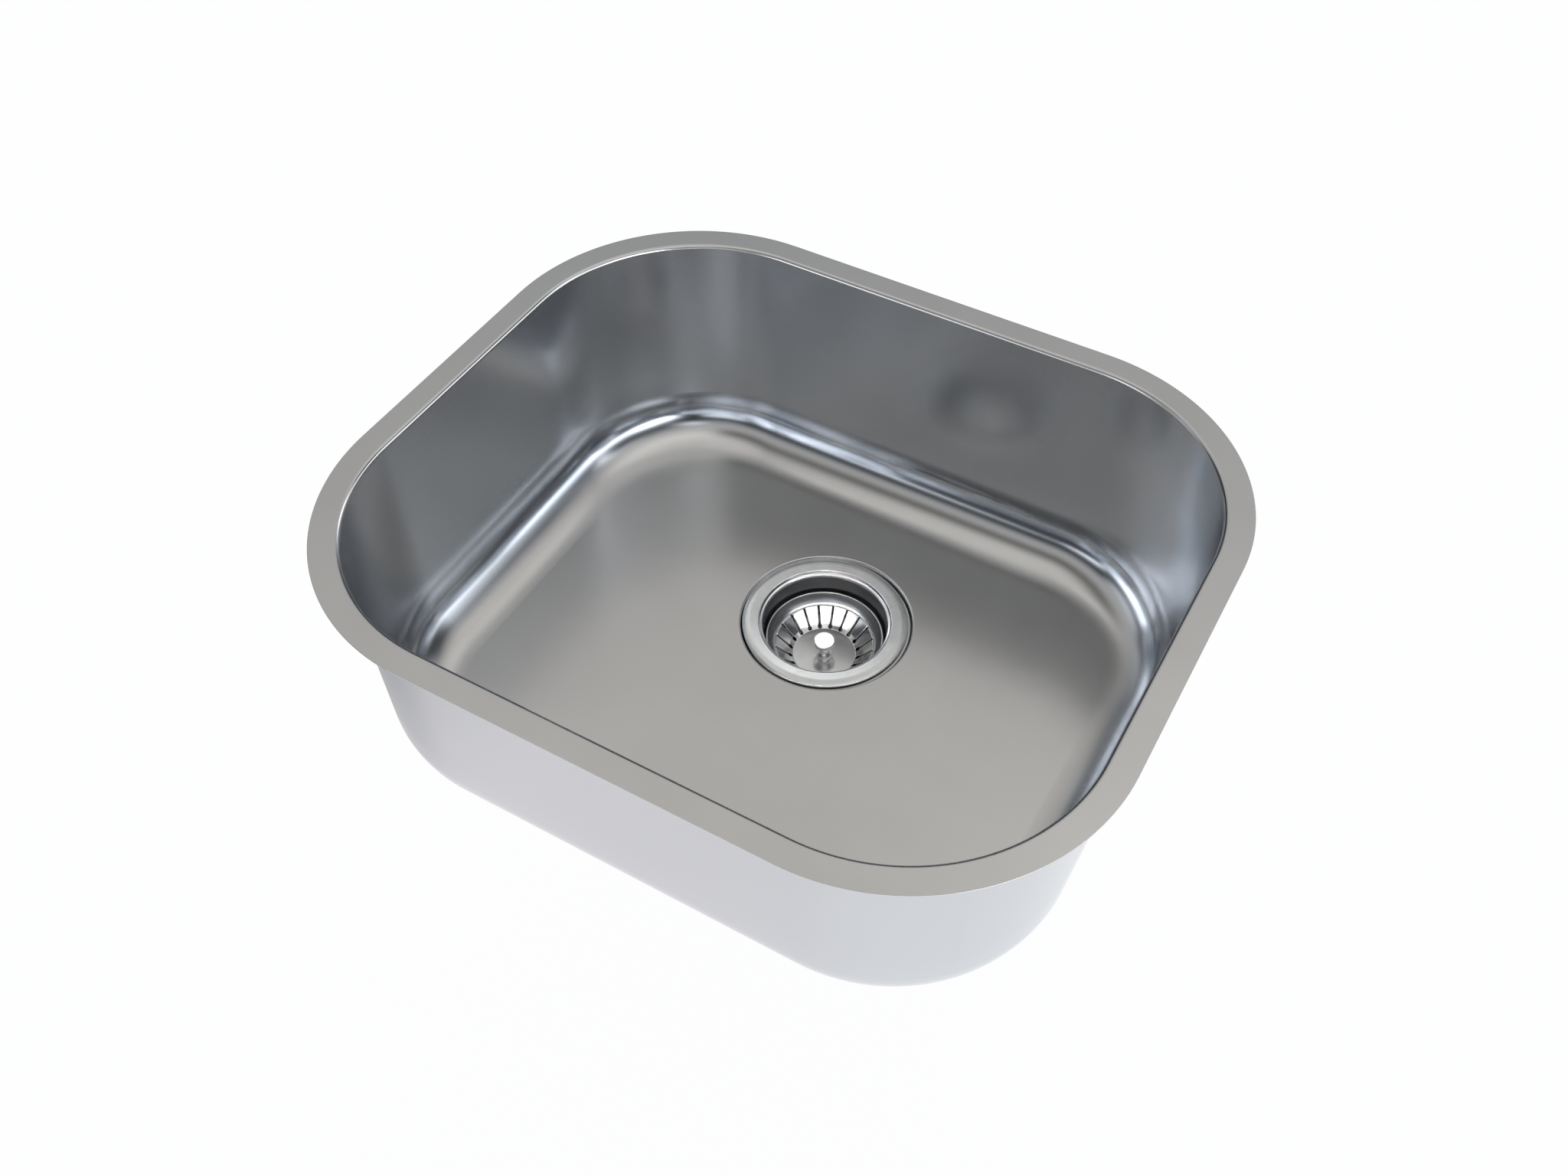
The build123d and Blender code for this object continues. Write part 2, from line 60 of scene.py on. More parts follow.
toward_camera = way(CAMERA_AZIMUTH, CAMERA_ELEVATION)
camera_data = bpy.data.cameras.new("camera")
camera_data.sensor_fit = "HORIZONTAL"
camera_data.sensor_width = SENSOR_WIDTH_MM
camera_data.lens = FOCAL_LENGTH_PX / PHOTO_WIDTH_PX * SENSOR_WIDTH_MM
camera_data.clip_end = 50.0
camera = bpy.data.objects.new("camera", camera_data)
camera.location = CAMERA_AIM + toward_camera * CAMERA_DISTANCE
camera.rotation_euler = (-toward_camera).to_track_quat("-Z", "Y").to_euler()
scene.collection.objects.link(camera)
scene.camera = camera
scene.view_settings.view_transform = "Standard"


# --- Studio ---
# A white floor far below the sink, and a dim room with blurred light and dark panels in it. Steel
# shows all of it, so places and levels were fitted to what the flange, the floor and the walls of
# the real sink reflect.
class Shade:
    """A value in a node tree. Arithmetic on it adds Math nodes, and node() adds any other node."""

    def __init__(self, tree, made=None, output=0):
        self.tree = tree
        self.made = made
        self.socket = made.outputs[output] if made and made.outputs else None

    def node(self, kind, settings=None, inputs=None, output=0):
        """Adds a shader node. Settings come first, a ramp's as {"stops": [(place, colour), ...]}; each
        input is a number, a tuple or another Shade, and a colour has three parts."""
        made = self.tree.nodes.new("ShaderNode" + kind)
        for key, value in (settings or {}).items():
            if key == "stops":
                marks = made.color_ramp.elements
                while len(marks) < len(value):
                    marks.new(1.0)
                for mark, (place, colour) in zip(marks, value):
                    mark.position = place
                    mark.color = (*colour, 1.0)
            else:
                setattr(made, key, value)
        for key, value in (inputs or {}).items():
            if isinstance(value, Shade):
                self.tree.links.new(value.socket, made.inputs[key])
            elif made.inputs[key].type == "RGBA":
                made.inputs[key].default_value = (*value, 1.0)
            else:
                made.inputs[key].default_value = value
        return Shade(self.tree, made, output)

    def other(self, output):
        return Shade(self.tree, self.made, output)

    def part(self, axis):
        return self.node("SeparateXYZ", inputs={0: self}, output=axis)

    def math(self, operation, first, second=0.0):
        return self.node("Math", {"operation": operation}, {0: first, 1: second})

    def vector(self, operation, first, second=(0.0, 0.0, 0.0), output="Vector"):
        return self.node("VectorMath", {"operation": operation}, {0: first, 1: second}, output)

    def __add__(self, other):
        return self.math("ADD", self, other)

    def __sub__(self, other):
        return self.math("SUBTRACT", self, other)

    def __mul__(self, other):
        return self.math("MULTIPLY", self, other)

    def step(self, low, high):
        """0 below low, 1 above high, and a smooth rise between."""
        settings = {"interpolation_type": "SMOOTHSTEP"}
        return self.node("MapRange", settings, {0: self, 1: low, 2: high})

    def blend(self, first, second):
        """The first colour where this value is 0, the second where it is 1."""
        settings = {"data_type": "RGBA"}
        return self.node("Mix", settings, {0: self, 6: first, 7: second}, output=2)


FLOOR_HEIGHT = -0.80
FLOOR_HALF = 6.0
FLOOR_COLOUR = (0.86, 0.86, 0.88)
WHITE = (1.0, 1.0, 1.0)
SHADOW_KEPT = 0.12
FLOOR_GLOW = 1.05
# what the steel sees in the floor: it darkens to the left, away from the panels, between these places
FLOOR_LEFT = (0.38, 0.38, 0.39)
FLOOR_MIDDLE = (0.965, 0.945, 0.965)
FLOOR_RIGHT = (1.045, 1.06, 1.075)
LEFT_TO_MIDDLE = (-0.95, -0.42)
MIDDLE_TO_RIGHT = (-0.25, 0.40)
WARM = (1.005, 1.000, 0.975)
COOL = (0.935, 1.000, 1.085)
WARM_FROM = 0.6
# how bright the bare room is at each height, the sine of the elevation
ROOM = [
    (0.0, 0.92), (0.21, 0.41), (0.37, 0.10), (0.53, 0.50),
    (0.67, 0.53), (0.79, 0.62), (0.91, 1.0), (1.0, 0.69),
]
# the middle and half width of a panel in degrees of azimuth, the heights of its foot and top, and its
# level; the later ones stand in front
PANELS = [
    (325, 24, -0.15, 0.61, 4.98),
    (23, 28, 0.17, 0.68, 2.81),
    (72, 13, 0.25, 0.54, 3.42),
    (139, 55, -0.19, 0.50, 0.02),
    (243, 8, -0.19, 0.43, 1.92),
    (305, 8, 0.07, 0.60, 0.02),
    (283, 8, 0.32, 0.53, 2.23),
    (264, 65, 0.39, 0.57, 0.02),
    (227, 55, 0.77, 0.90, 0.03),
    (49, 17, 0.33, 0.72, 0.02),
    (100, 42, 0.83, 1.06, 0.60),
    (89, 9, 0.80, 0.90, 0.94),
    (198, 14, 0.45, 0.56, 1.01),
    (348, 31, 0.44, 0.70, 0.06),
]
PANEL_SIDES_BLUR = 12.0
PANEL_ENDS_BLUR = 0.08
NO_HEIGHT = (1.0, 1.0, 0.0)


def tinted(level, height):
    """A grey of this level, cool low in the room and warm high in it."""
    return tuple(level * part for part in (COOL if height < WARM_FROM else WARM))


world = bpy.data.worlds.new("pale room")
scene.world = world
world.use_nodes = True
world.node_tree.nodes.clear()
sky = Shade(world.node_tree)
direction = sky.node("TexCoord", output="Generated")
height = direction.part("Z")
heading = sky.vector("NORMALIZE", sky.vector("MULTIPLY", direction, NO_HEIGHT))
stops = [(at, tinted(bright, at)) for at, bright in ROOM]
room = sky.node("ValToRGB", {"stops": stops}, {0: height})
for azimuth, half_width, foot, top, bright in PANELS:
    facing = sky.vector("DOT_PRODUCT", heading, way(azimuth), "Value")
    outer = math.cos(math.radians(half_width + PANEL_SIDES_BLUR))
    inner = math.cos(math.radians(max(half_width - PANEL_SIDES_BLUR, 0.0)))
    half_height = (top - foot) / 2
    off_middle = sky.math("ABSOLUTE", height - (top + foot) / 2)
    sideways = facing.step(outer, inner)
    upright = off_middle.step(half_height + PANEL_ENDS_BLUR, half_height - PANEL_ENDS_BLUR)
    room = (sideways * upright).blend(room, tinted(bright, foot))
room_light = sky.node("Background", inputs={"Color": room})
blank = sky.node("Background", inputs={"Color": WHITE})
ray = sky.node("LightPath")
shown = sky.node("MixShader", inputs={0: ray.other("Is Camera Ray"), 1: room_light, 2: blank})
sky.node("OutputWorld", inputs={"Surface": shown})


def mesh_object(name, *forms, smooth=True):
    """An object at the origin whose mesh is made of forms, each a (points, [faces, ...]) pair."""
    points, faces, count = [], [], 0
    for form_points, face_arrays in forms:
        points.append(np.reshape(form_points, (-1, 3)))
        faces += [(array + count).tolist() for array in face_arrays]
        count += len(points[-1])
    mesh = bpy.data.meshes.new(name)
    mesh.from_pydata(np.concatenate(points).tolist(), [], sum(faces, []))
    mesh.polygons.foreach_set("use_smooth", [smooth] * len(mesh.polygons))
    mesh.update()
    piece = bpy.data.objects.new(name, mesh)
    scene.collection.objects.link(piece)
    return piece


def new_material(name):
    """An empty material, the Shade that its nodes start from, and the place on the object."""
    material = bpy.data.materials.new(name)
    material.use_nodes = True
    material.node_tree.nodes.clear()
    shade = Shade(material.node_tree)
    return material, shade, shade.node("TexCoord", output="Object")


corners = FLOOR_HALF * np.array([(-1, -1), (1, -1), (1, 1), (-1, 1)])
floor_form = (np.column_stack([corners, np.full(4, FLOOR_HEIGHT)]), [np.array([[0, 1, 2, 3]])])
studio_floor = mesh_object("studio_floor", floor_form, smooth=False)
floor_material, paper, place = new_material("white floor")
matt = paper.node("BsdfDiffuse", inputs={"Color": FLOOR_COLOUR})
glow = paper.node("Emission", inputs={"Color": WHITE, "Strength": FLOOR_GLOW})
across = place.part("X")
mirrored = across.step(*LEFT_TO_MIDDLE).blend(FLOOR_LEFT, FLOOR_MIDDLE)
mirrored = across.step(*MIDDLE_TO_RIGHT).blend(mirrored, FLOOR_RIGHT)
mirrored_glow = paper.node("Emission", inputs={"Color": mirrored, "Strength": FLOOR_GLOW})
ray = paper.node("LightPath")
bounced = paper.math("MAXIMUM", ray.other("Is Glossy Ray"), ray.other("Is Transmission Ray"))
unlit = paper.node("MixShader", inputs={0: bounced, 1: glow, 2: mirrored_glow})
seen = paper.math("MAXIMUM", ray.other("Is Camera Ray"), bounced)
surface = paper.node("MixShader", inputs={0: seen * (1.0 - SHADOW_KEPT), 1: matt, 2: unlit})
paper.node("OutputMaterial", inputs={"Surface": surface})
studio_floor.data.materials.append(floor_material)


# --- Sink bowl ---
# One sheet of 0.8 mm stainless steel, drawn in a press to a flange, a bend, leaning walls, a wide
# rounded foot and a flat floor with a round recess for the drain. It is finished satin, with
# faint upright draw lines in the walls.
MM = 0.001
SINK_LENGTH = 500 * MM
SINK_WIDTH = 430 * MM
FLANGE_CORNER = 135 * MM
FLANGE_WIDTH = 15 * MM
SHEET = 0.8 * MM
BEND_RADIUS = 2.8 * MM
FLANGE_EDGE = 0.2 * MM
WALL_DRAFT = math.radians(2.25)
BOWL_DEPTH = 165 * MM
FLOOR_FILLET = 38 * MM
DRAIN_CENTRE = np.array([0.0, 54.5 * MM])
DRAIN_HOLE = 45 * MM
RECESS_RADIUS = 59.3 * MM
RECESS_DEPTH = 3.8 * MM
RECESS_SLOPE = 1.4 * MM
RECESS_BEND = 1.3 * MM
RECESS_BLEND = 6 * MM
# the recess is pressed a little off the axis of the hole, so the strainer's rim lies to one side of it
RECESS_SHIFT = np.array([1.5 * MM, -0.9 * MM])
# how finely the bowl is drawn: along a bend, and round a corner, a long and a short side
BOWL_ARC_STEPS = 14
BOWL_COLUMNS = (40, 30, 24)
FLOOR_ROWS = 8


def bent_line(points, radii, steps=8, hold=0.15 * MM):
    """A broken line (distance, height) whose corners are arcs tangent to both legs. Each arc has
    steps + 1 points, and one more stands hold away from it on each leg, so that the leg shades flat."""
    points = np.asarray(points, float)
    line = [points[:1]]
    for before, corner, after, radius in zip(points, points[1:], points[2:], radii):
        way_in = (corner - before) / np.linalg.norm(corner - before)
        way_out = (after - corner) / np.linalg.norm(after - corner)
        turn = math.atan2(way_in[0] * way_out[1] - way_in[1] * way_out[0], way_in @ way_out)
        reach = radius * math.tan(abs(turn) / 2)
        side = math.copysign(1.0, turn) * np.array([-way_in[1], way_in[0]])
        centre = corner - way_in * reach + side * radius
        angles = np.linspace(0.0, abs(turn), steps + 1)
        arc = centre + radius * (np.outer(np.sin(angles), way_in) - np.outer(np.cos(angles), side))
        line += [arc[:1] - way_in * hold, arc, arc[-1:] + way_out * hold]
    line.append(points[-1:])
    return np.concatenate(line)


def rounded_loop(half_x, half_y, corner_steps, side_steps_x, side_steps_y):
    """Round a rectangle with rounded corners: the centre of curvature and the outward direction of
    each column. On a corner only the direction turns, and on a side only the centre slides."""
    corners = np.array([(1, 1), (-1, 1), (-1, -1), (1, -1)]) * (half_x, half_y)
    centres, angles = [], []
    for quarter, (here, there) in enumerate(zip(corners, np.roll(corners, -1, axis=0))):
        start = quarter * math.pi / 2
        centres.append(np.tile(here, (corner_steps + 1, 1)))
        angles.append(np.linspace(start, start + math.pi / 2, corner_steps + 1))
        count = (side_steps_x, side_steps_y)[quarter % 2]
        share = np.linspace(0, 1, count + 1)[1:-1, None]
        centres.append(here + (there - here) * share)
        angles.append(np.full(count - 1, start + math.pi / 2))
    angles = np.concatenate(angles)
    return np.concatenate(centres), np.column_stack([np.cos(angles), np.sin(angles)])


def grid_quads(index):
    """Quads between the neighbours of a grid of point numbers. They face outwards when the rows run
    anticlockwise round a section drawn with its distance from the axis to the right."""
    quads = [index[:-1, :-1], index[:-1, 1:], index[1:, 1:], index[1:, :-1]]
    return np.stack(quads, axis=-1).reshape(-1, 4)


def round_index(rows):
    """Point numbers of rows that close round on themselves: the first column comes again at the end."""
    index = np.arange(rows.shape[0] * rows.shape[1]).reshape(rows.shape[:2])
    return np.concatenate([index, index[:, :1]], axis=1)


def hoop(rows):
    """A form from rows of points that close round on themselves, its last row joined to its first."""
    index = round_index(rows)
    return rows, [grid_quads(np.concatenate([index, index[:1]]))]


def raised(flat, heights):
    """Rows of points from rows of flat places and a height for each row."""
    heights = np.broadcast_to(heights[:, None, None], (*flat.shape[:2], 1))
    return np.concatenate([flat, heights], axis=2)


def run_along(points):
    """How far each point lies along the line of points that runs down the first axis."""
    steps = np.linalg.norm(np.diff(points, axis=0), axis=-1)
    return np.concatenate([np.zeros_like(steps[:1]), np.cumsum(steps, axis=0)])


def add_uv(piece, along, across):
    """A UV map in metres: along and across hold one number for each point of the mesh."""
    corner_points = np.empty(len(piece.data.loops), int)
    piece.data.loops.foreach_get("vertex_index", corner_points)
    uv = np.column_stack([np.ravel(along)[corner_points], np.ravel(across)[corner_points]])
    piece.data.uv_layers.new(name="UVMap").data.foreach_set("uv", uv.ravel())


FLOOR_EDGE_ROOM = 0.5 * MM
wall_turn = math.pi / 2 - WALL_DRAFT
wall_inset = FLANGE_WIDTH + BEND_RADIUS * math.tan(wall_turn / 2)
floor_inset = wall_inset + BOWL_DEPTH * math.tan(WALL_DRAFT)
outer_wall_inset = wall_inset - SHEET / math.cos(WALL_DRAFT)
outer_floor_inset = outer_wall_inset + (BOWL_DEPTH + SHEET) * math.tan(WALL_DRAFT)
flat_edge = floor_inset + (FLOOR_FILLET * math.tan(wall_turn / 2) + FLOOR_EDGE_ROOM)


def bowl_face(under, wall, foot, bend, fillet):
    """One face of the sheet as (inset, height), from the flange's edge to the edge of the flat floor."""
    depth = BOWL_DEPTH + under
    corners = [(0.0, -SHEET / 2), (0.0, -under), (wall, -under), (foot, -depth), (flat_edge, -depth)]
    return bent_line(corners, [FLANGE_EDGE, bend, fillet], BOWL_ARC_STEPS)


upper = bowl_face(0.0, wall_inset, floor_inset, BEND_RADIUS, FLOOR_FILLET)
lower = bowl_face(SHEET, outer_wall_inset, outer_floor_inset, BEND_RADIUS - SHEET, FLOOR_FILLET + SHEET)
recess_foot = RECESS_RADIUS - RECESS_SLOPE
recess_line = [
    (RECESS_RADIUS + RECESS_BLEND, -BOWL_DEPTH), (RECESS_RADIUS, -BOWL_DEPTH),
    (recess_foot, -BOWL_DEPTH - RECESS_DEPTH), (DRAIN_HOLE, -BOWL_DEPTH - RECESS_DEPTH),
]
upper_recess = bent_line(recess_line, [RECESS_BEND, RECESS_BEND], steps=6)
lower_recess = upper_recess - (0.0, SHEET)

half_long, half_short = SINK_LENGTH / 2 - FLANGE_CORNER, SINK_WIDTH / 2 - FLANGE_CORNER
centres, outward = rounded_loop(half_long, half_short, *BOWL_COLUMNS)


def bowl_rows(profile):
    """Points of the bowl's rows. At each (inset, height) the loop keeps its centres of curvature, and
    its corner radius is the flange's less the inset."""
    radius = FLANGE_CORNER - profile[:, 0]
    return raised(centres[None] + radius[:, None, None] * outward[None], profile[:, 1])


def drain_rows(line, towards, swell=0.0):
    """Rows of points round the drain's axis: a circle for each (radius, height) of the line, with a
    point in the direction of each column. swell adds to the radius of each row and column."""
    radius = line[:, 0, None] + swell
    return raised(DRAIN_CENTRE + radius[..., None] * towards, line[:, 1])


def floor_rows(edge_row, circle_row):
    """Rows on straight lines between the floor's edge and the circle round the drain."""
    share = np.linspace(0.0, 1.0, FLOOR_ROWS + 2)[1:-1, None, None]
    return edge_row + (circle_row - edge_row) * share


upper_walls = bowl_rows(upper)
lower_walls = bowl_rows(lower)
away = upper_walls[-1, :, :2] - DRAIN_CENTRE
away /= np.linalg.norm(away, axis=1)[:, None]
shift_share = np.clip((upper_recess[:, 0] - DRAIN_HOLE) / (recess_foot - DRAIN_HOLE), 0.0, 1.0)
shift = shift_share[:, None, None] * (*RECESS_SHIFT, 0.0)
upper_drain = drain_rows(upper_recess, away) + shift
lower_drain = drain_rows(lower_recess, away) + shift
bowl_points = np.concatenate([
    upper_walls, floor_rows(upper_walls[-1], upper_drain[0]), upper_drain,
    lower_drain[::-1], floor_rows(lower_drain[0], lower_walls[-1]), lower_walls[:0:-1],
])
sink_bowl = mesh_object("drawn_bowl", hoop(bowl_points))
down = run_along(bowl_points)
add_uv(sink_bowl, np.broadcast_to(run_along(upper_walls[0]), down.shape), down)


ALL_WAYS = (1.0, 1.0, 1.0)


def noise(shade, coordinates, scale, stretch=ALL_WAYS, detail=2.0):
    """Cloudy noise from 0 to 1, with its cells drawn out by stretch along each axis."""
    placed = shade.node("Mapping", inputs={"Vector": coordinates, "Scale": stretch})
    inputs = {"Vector": placed, "Scale": scale, "Detail": detail}
    return shade.node("TexNoise", {"noise_dimensions": "3D"}, inputs)


def add_surface(shade, base, roughness, relief, metallic=1.0):
    """Ends a material in one surface: its colour, its roughness and its relief in metres."""
    bump = shade.node("Bump", inputs={"Strength": 1.0, "Distance": 1.0, "Height": relief})
    inputs = {"Base Color": base, "Metallic": metallic, "Roughness": roughness, "Normal": bump}
    surface = shade.node("BsdfPrincipled", inputs=inputs)
    shade.node("OutputMaterial", inputs={"Surface": surface})


STEEL = (0.646, 0.638, 0.630)
STEEL_DULL = (0.621, 0.612, 0.603)
# the walls' bluer colour is a painted cool reflection of the low room
STEEL_WALL_PAINTED_COOL_REFLECTION = (0.614, 0.627, 0.648)
SATIN_ROUGHNESS, DRAWN_ROUGHNESS, WALL_ADDS, CLOUDS_ADD = 0.26, 0.15, 0.075, 0.04
CLOUD_SCALE, DRAW_LINE_SCALE = 14.0, 42.0
DRAW_LINE_STRETCH = (1.0, 0.06, 1.0)
DRAW_LINE_RELIEF = 0.01 * MM
# heights between which the satin floor turns to drawn foot, that to wall, and the flange's colour to
# the wall's bluer colour, which is a painted cool reflection
FLOOR_TO_FOOT = (-BOWL_DEPTH, -BOWL_DEPTH + 20.0 * MM)
FOOT_TO_WALL = (-BOWL_DEPTH + 34.0 * MM, -BOWL_DEPTH + 60.0 * MM)
FLANGE_TO_WALL = (-2.0 * MM, -8.0 * MM)
bowl_material, steel, place = new_material("satin stainless steel")
sheet_place = steel.node("TexCoord", output="UV")
cloudy = noise(steel, place, CLOUD_SCALE)
draw_lines = noise(steel, sheet_place, DRAW_LINE_SCALE, DRAW_LINE_STRETCH, detail=3.0)
depth = place.part("Z")
drawn = depth.step(*FLOOR_TO_FOOT)
wall = drawn * depth.step(*FLANGE_TO_WALL)
over_foot = depth.step(*FOOT_TO_WALL)
base = cloudy.step(0.35, 0.7).blend(STEEL_DULL, STEEL)
grain = drawn * (DRAWN_ROUGHNESS - SATIN_ROUGHNESS) + SATIN_ROUGHNESS
grain = grain + over_foot * WALL_ADDS + (cloudy - 0.5) * CLOUDS_ADD
# painted reflection: the walls and foot get a bluer base colour than the flange and the floor
add_surface(steel, wall.blend(base, STEEL_WALL_PAINTED_COOL_REFLECTION), grain, draw_lines * DRAW_LINE_RELIEF)


def fit(piece, material, node, body="sink"):
    """Gives a piece its material and the body it moves with, and hides the CAD node it stands for."""
    piece.data.materials.append(material)
    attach(piece, body)
    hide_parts(node)


fit(sink_bowl, bowl_material, "sink_bowl")


# --- Sound pads ---
# Three die-cut sheets of grey damping compound, stuck under the floor to the left, to the right
# and in front of the drain.
PAD_THICKNESS = 2.5 * MM
PAD_CORNER = 12 * MM
PAD_GAP = 14 * MM
SIDE_PAD_WIDTH = 92 * MM
FRONT_PAD_DEPTH = 95 * MM
PAD_EDGE = 0.7 * MM
PAD_STUCK_EDGE = 0.1 * MM


def capped(rows):
    """A form from rows of points that close round, with a fan of triangles at each end to the middle
    of that end's row."""
    index = round_index(rows)
    poles = rows[[0, -1]].mean(axis=1)
    first, last = index[0], index[-1]
    pole = np.full(rows.shape[1], rows.shape[0] * rows.shape[1])
    fans = [np.column_stack([pole, first[1:], first[:-1]]), np.column_stack([last[:-1], last[1:], pole + 1])]
    return np.concatenate([rows.reshape(-1, 3), poles]), [grid_quads(index), *fans]


def mottled_material(name, colour, fleck, roughness, metallic=0.0, grain=0.5 * MM, relief=0.03 * MM):
    """A moulded or cast surface: flecked with a second colour, with fine grains that stand up."""
    material, shade, place = new_material(name)
    clouds = noise(shade, place, 45.0)
    grains = noise(shade, place, 1.0 / grain)
    base = (grains * 0.6 + clouds * 0.4).step(0.35, 0.65).blend(colour, fleck)
    add_surface(shade, base, clouds * 0.12 + (roughness - 0.06), grains * relief, metallic)
    return material


pad_top = -BOWL_DEPTH - SHEET
pad_foot = pad_top - PAD_THICKNESS
pad_reach = np.array([SINK_LENGTH, SINK_WIDTH]) / 2 - flat_edge + FLOOR_EDGE_ROOM - PAD_GAP
side_pad_x = pad_reach[0] - SIDE_PAD_WIDTH / 2
front_pad_width = 2 * (pad_reach[0] - SIDE_PAD_WIDTH - PAD_GAP)
pad_corners = [(PAD_CORNER, pad_foot), (0.0, pad_foot), (0.0, pad_top), (PAD_CORNER, pad_top)]
pad_section = bent_line(pad_corners, [PAD_EDGE, PAD_STUCK_EDGE], steps=4)[1:-1]
pad_material = mottled_material(
    "grey damping pad", (0.125, 0.126, 0.130), (0.185, 0.185, 0.190), 0.72, grain=0.8 * MM, relief=0.08 * MM
)
for side, middle, size in [
    ("left", (-side_pad_x, 0.0), (SIDE_PAD_WIDTH, 2 * pad_reach[1])),
    ("right", (side_pad_x, 0.0), (SIDE_PAD_WIDTH, 2 * pad_reach[1])),
    ("front", (0.0, FRONT_PAD_DEPTH / 2 - pad_reach[1]), (front_pad_width, FRONT_PAD_DEPTH)),
]:
    pad_centres, pad_outward = rounded_loop(size[0] / 2 - PAD_CORNER, size[1] / 2 - PAD_CORNER, 8, 2, 2)
    inwards = (PAD_CORNER - pad_section[:, 0])[:, None, None]
    pad_rows = raised(np.array(middle) + pad_centres + inwards * pad_outward, pad_section[:, 1])
    fit(mesh_object(f"damping_pad_{side}", capped(pad_rows)), pad_material, f"sound_pad_{side}")


# --- Strainer body ---
# A cup pressed from stainless steel, with a bevelled rim that sits in the recess, a double bead
# at its mouth, a seat in its bottom, and a thread rolled round its wall under the floor. Its face
# is turned, so its polish runs in rings.
BODY_SHEET = 0.8 * MM
BODY_FLANGE = 57.0 * MM
BODY_DROP = 0.3 * MM
RIM_LIP = 1.2 * MM
RIM_BEVEL = 3.2 * MM
RIM_BEVEL_FALL = 1.4 * MM
RIM_INNER = 45.6 * MM
RIM_FALL = 0.8 * MM
STEP_DEPTH = 1.9 * MM
STEP_WIDTH = 1.5 * MM
STEP_LEAN = 0.9 * MM
STEP_FALL = 0.35 * MM
WALL_START = 2.4 * MM
THROAT = 42.7 * MM
THROAT_TAPER = 0.4 * MM
CUP_DEPTH = 42.3 * MM
# the lip, the bevel's top, the beads at the mouth and the face between them, the cup's corner, the seat
BODY_BENDS = MM * np.array([0.8, 10.0, 1.0, 0.6, 1.0, 2.0, 6.0, 4.0])
SEAT_OUTER = 30.0 * MM
SEAT_INNER = 21.5 * MM
SEAT_RISE = 2.3 * MM
THREAD_DEPTH = 0.7 * MM
THREAD_PITCH = 1.8 * MM
THREAD_BITE = 0.5 * MM
BODY_THREAD_TOP = 5.6 * MM
BODY_THREAD_TURNS = 10
ROUND_COLUMNS = 144

rim_z = -BOWL_DEPTH - BODY_DROP
seat_z = rim_z - CUP_DEPTH
face_foot_z = rim_z - RIM_FALL
step_outer = RIM_INNER - STEP_LEAN
step_z = face_foot_z - STEP_DEPTH
step_foot_z = step_z - STEP_FALL
body_corners = [
    (BODY_FLANGE, rim_z - RIM_BEVEL_FALL - RIM_LIP), (BODY_FLANGE, rim_z - RIM_BEVEL_FALL),
    (BODY_FLANGE - RIM_BEVEL, rim_z), (RIM_INNER, face_foot_z),
    (step_outer, step_z), (step_outer - STEP_WIDTH, step_foot_z),
    (THROAT, step_foot_z - WALL_START), (THROAT - THROAT_TAPER, seat_z + SEAT_RISE),
    (SEAT_OUTER, seat_z), (SEAT_INNER, seat_z),
]
body_line = bent_line(body_corners, BODY_BENDS, hold=0.1 * MM)


def compass(angles):
    return np.stack([np.cos(angles), np.sin(angles)], axis=-1)


ROUND = np.linspace(0.0, math.tau, ROUND_COLUMNS, endpoint=False)


def turned_form(line, angles=ROUND, swell=0.0):
    """A closed line turned round the drain's axis, with a column of points at each angle."""
    return hoop(drain_rows(line, compass(angles), swell))


def under_side(line, thickness):
    """The other face of a sheet: every point of the line moved square to it by the thickness, to the
    left of the line's run, and mitred where the line bends."""
    ways = np.diff(line, axis=0)
    ways /= np.linalg.norm(ways, axis=1)[:, None]
    sides = np.column_stack([-ways[:, 1], ways[:, 0]])
    before, after = np.concatenate([sides[:1], sides]), np.concatenate([sides, sides[-1:]])
    mitre = (before + after) / (1.0 + (before * after).sum(axis=1))[:, None]
    return line + mitre * thickness


def thread_form(root, top, turns):
    """A rolled thread: a band let into the wall, whose radius rises and falls with the height less one
    pitch for each turn round the axis, and which dies out at both ends."""
    down = np.linspace(0.0, turns * THREAD_PITCH, turns * 8 + 1)
    phase = (down[:, None] / THREAD_PITCH + ROUND / math.tau) % 1.0
    ridge = THREAD_DEPTH * (1.0 - abs(2.0 * phase - 1.0))
    ends = np.clip(np.minimum(down, down[-1] - down) / THREAD_PITCH, 0.0, 1.0)
    swell = np.concatenate([(ridge * ends[:, None])[::-1], np.zeros((2, len(ROUND)))])
    outer = np.column_stack([np.full(len(down), root), top - down])[::-1]
    inner = root - THREAD_BITE
    return turned_form(np.concatenate([outer, [(inner, top), (inner, top - down[-1])]]), swell=swell)


POLISH_RINGS = 2600.0
UNPOLISHED_GRAIN = 0.16
# radii between which the unpolished wall with its painted shade ends at the mouth, the mouth's painted
# highlight starts and ends, and the rim's grain starts
INSIDE_ENDS = (THROAT + 0.7 * MM, THROAT + 0.3 * MM)
MOUTH_STARTS = (THROAT + 0.5 * MM, THROAT + 0.9 * MM)
MOUTH_ENDS = (THROAT + 3.6 * MM, THROAT + 2.4 * MM)
RIM_STARTS = (THROAT + 2.6 * MM, THROAT + 4.0 * MM)
MOUTH_PAINTED_HIGHLIGHT = (0.95, 0.95, 0.95)


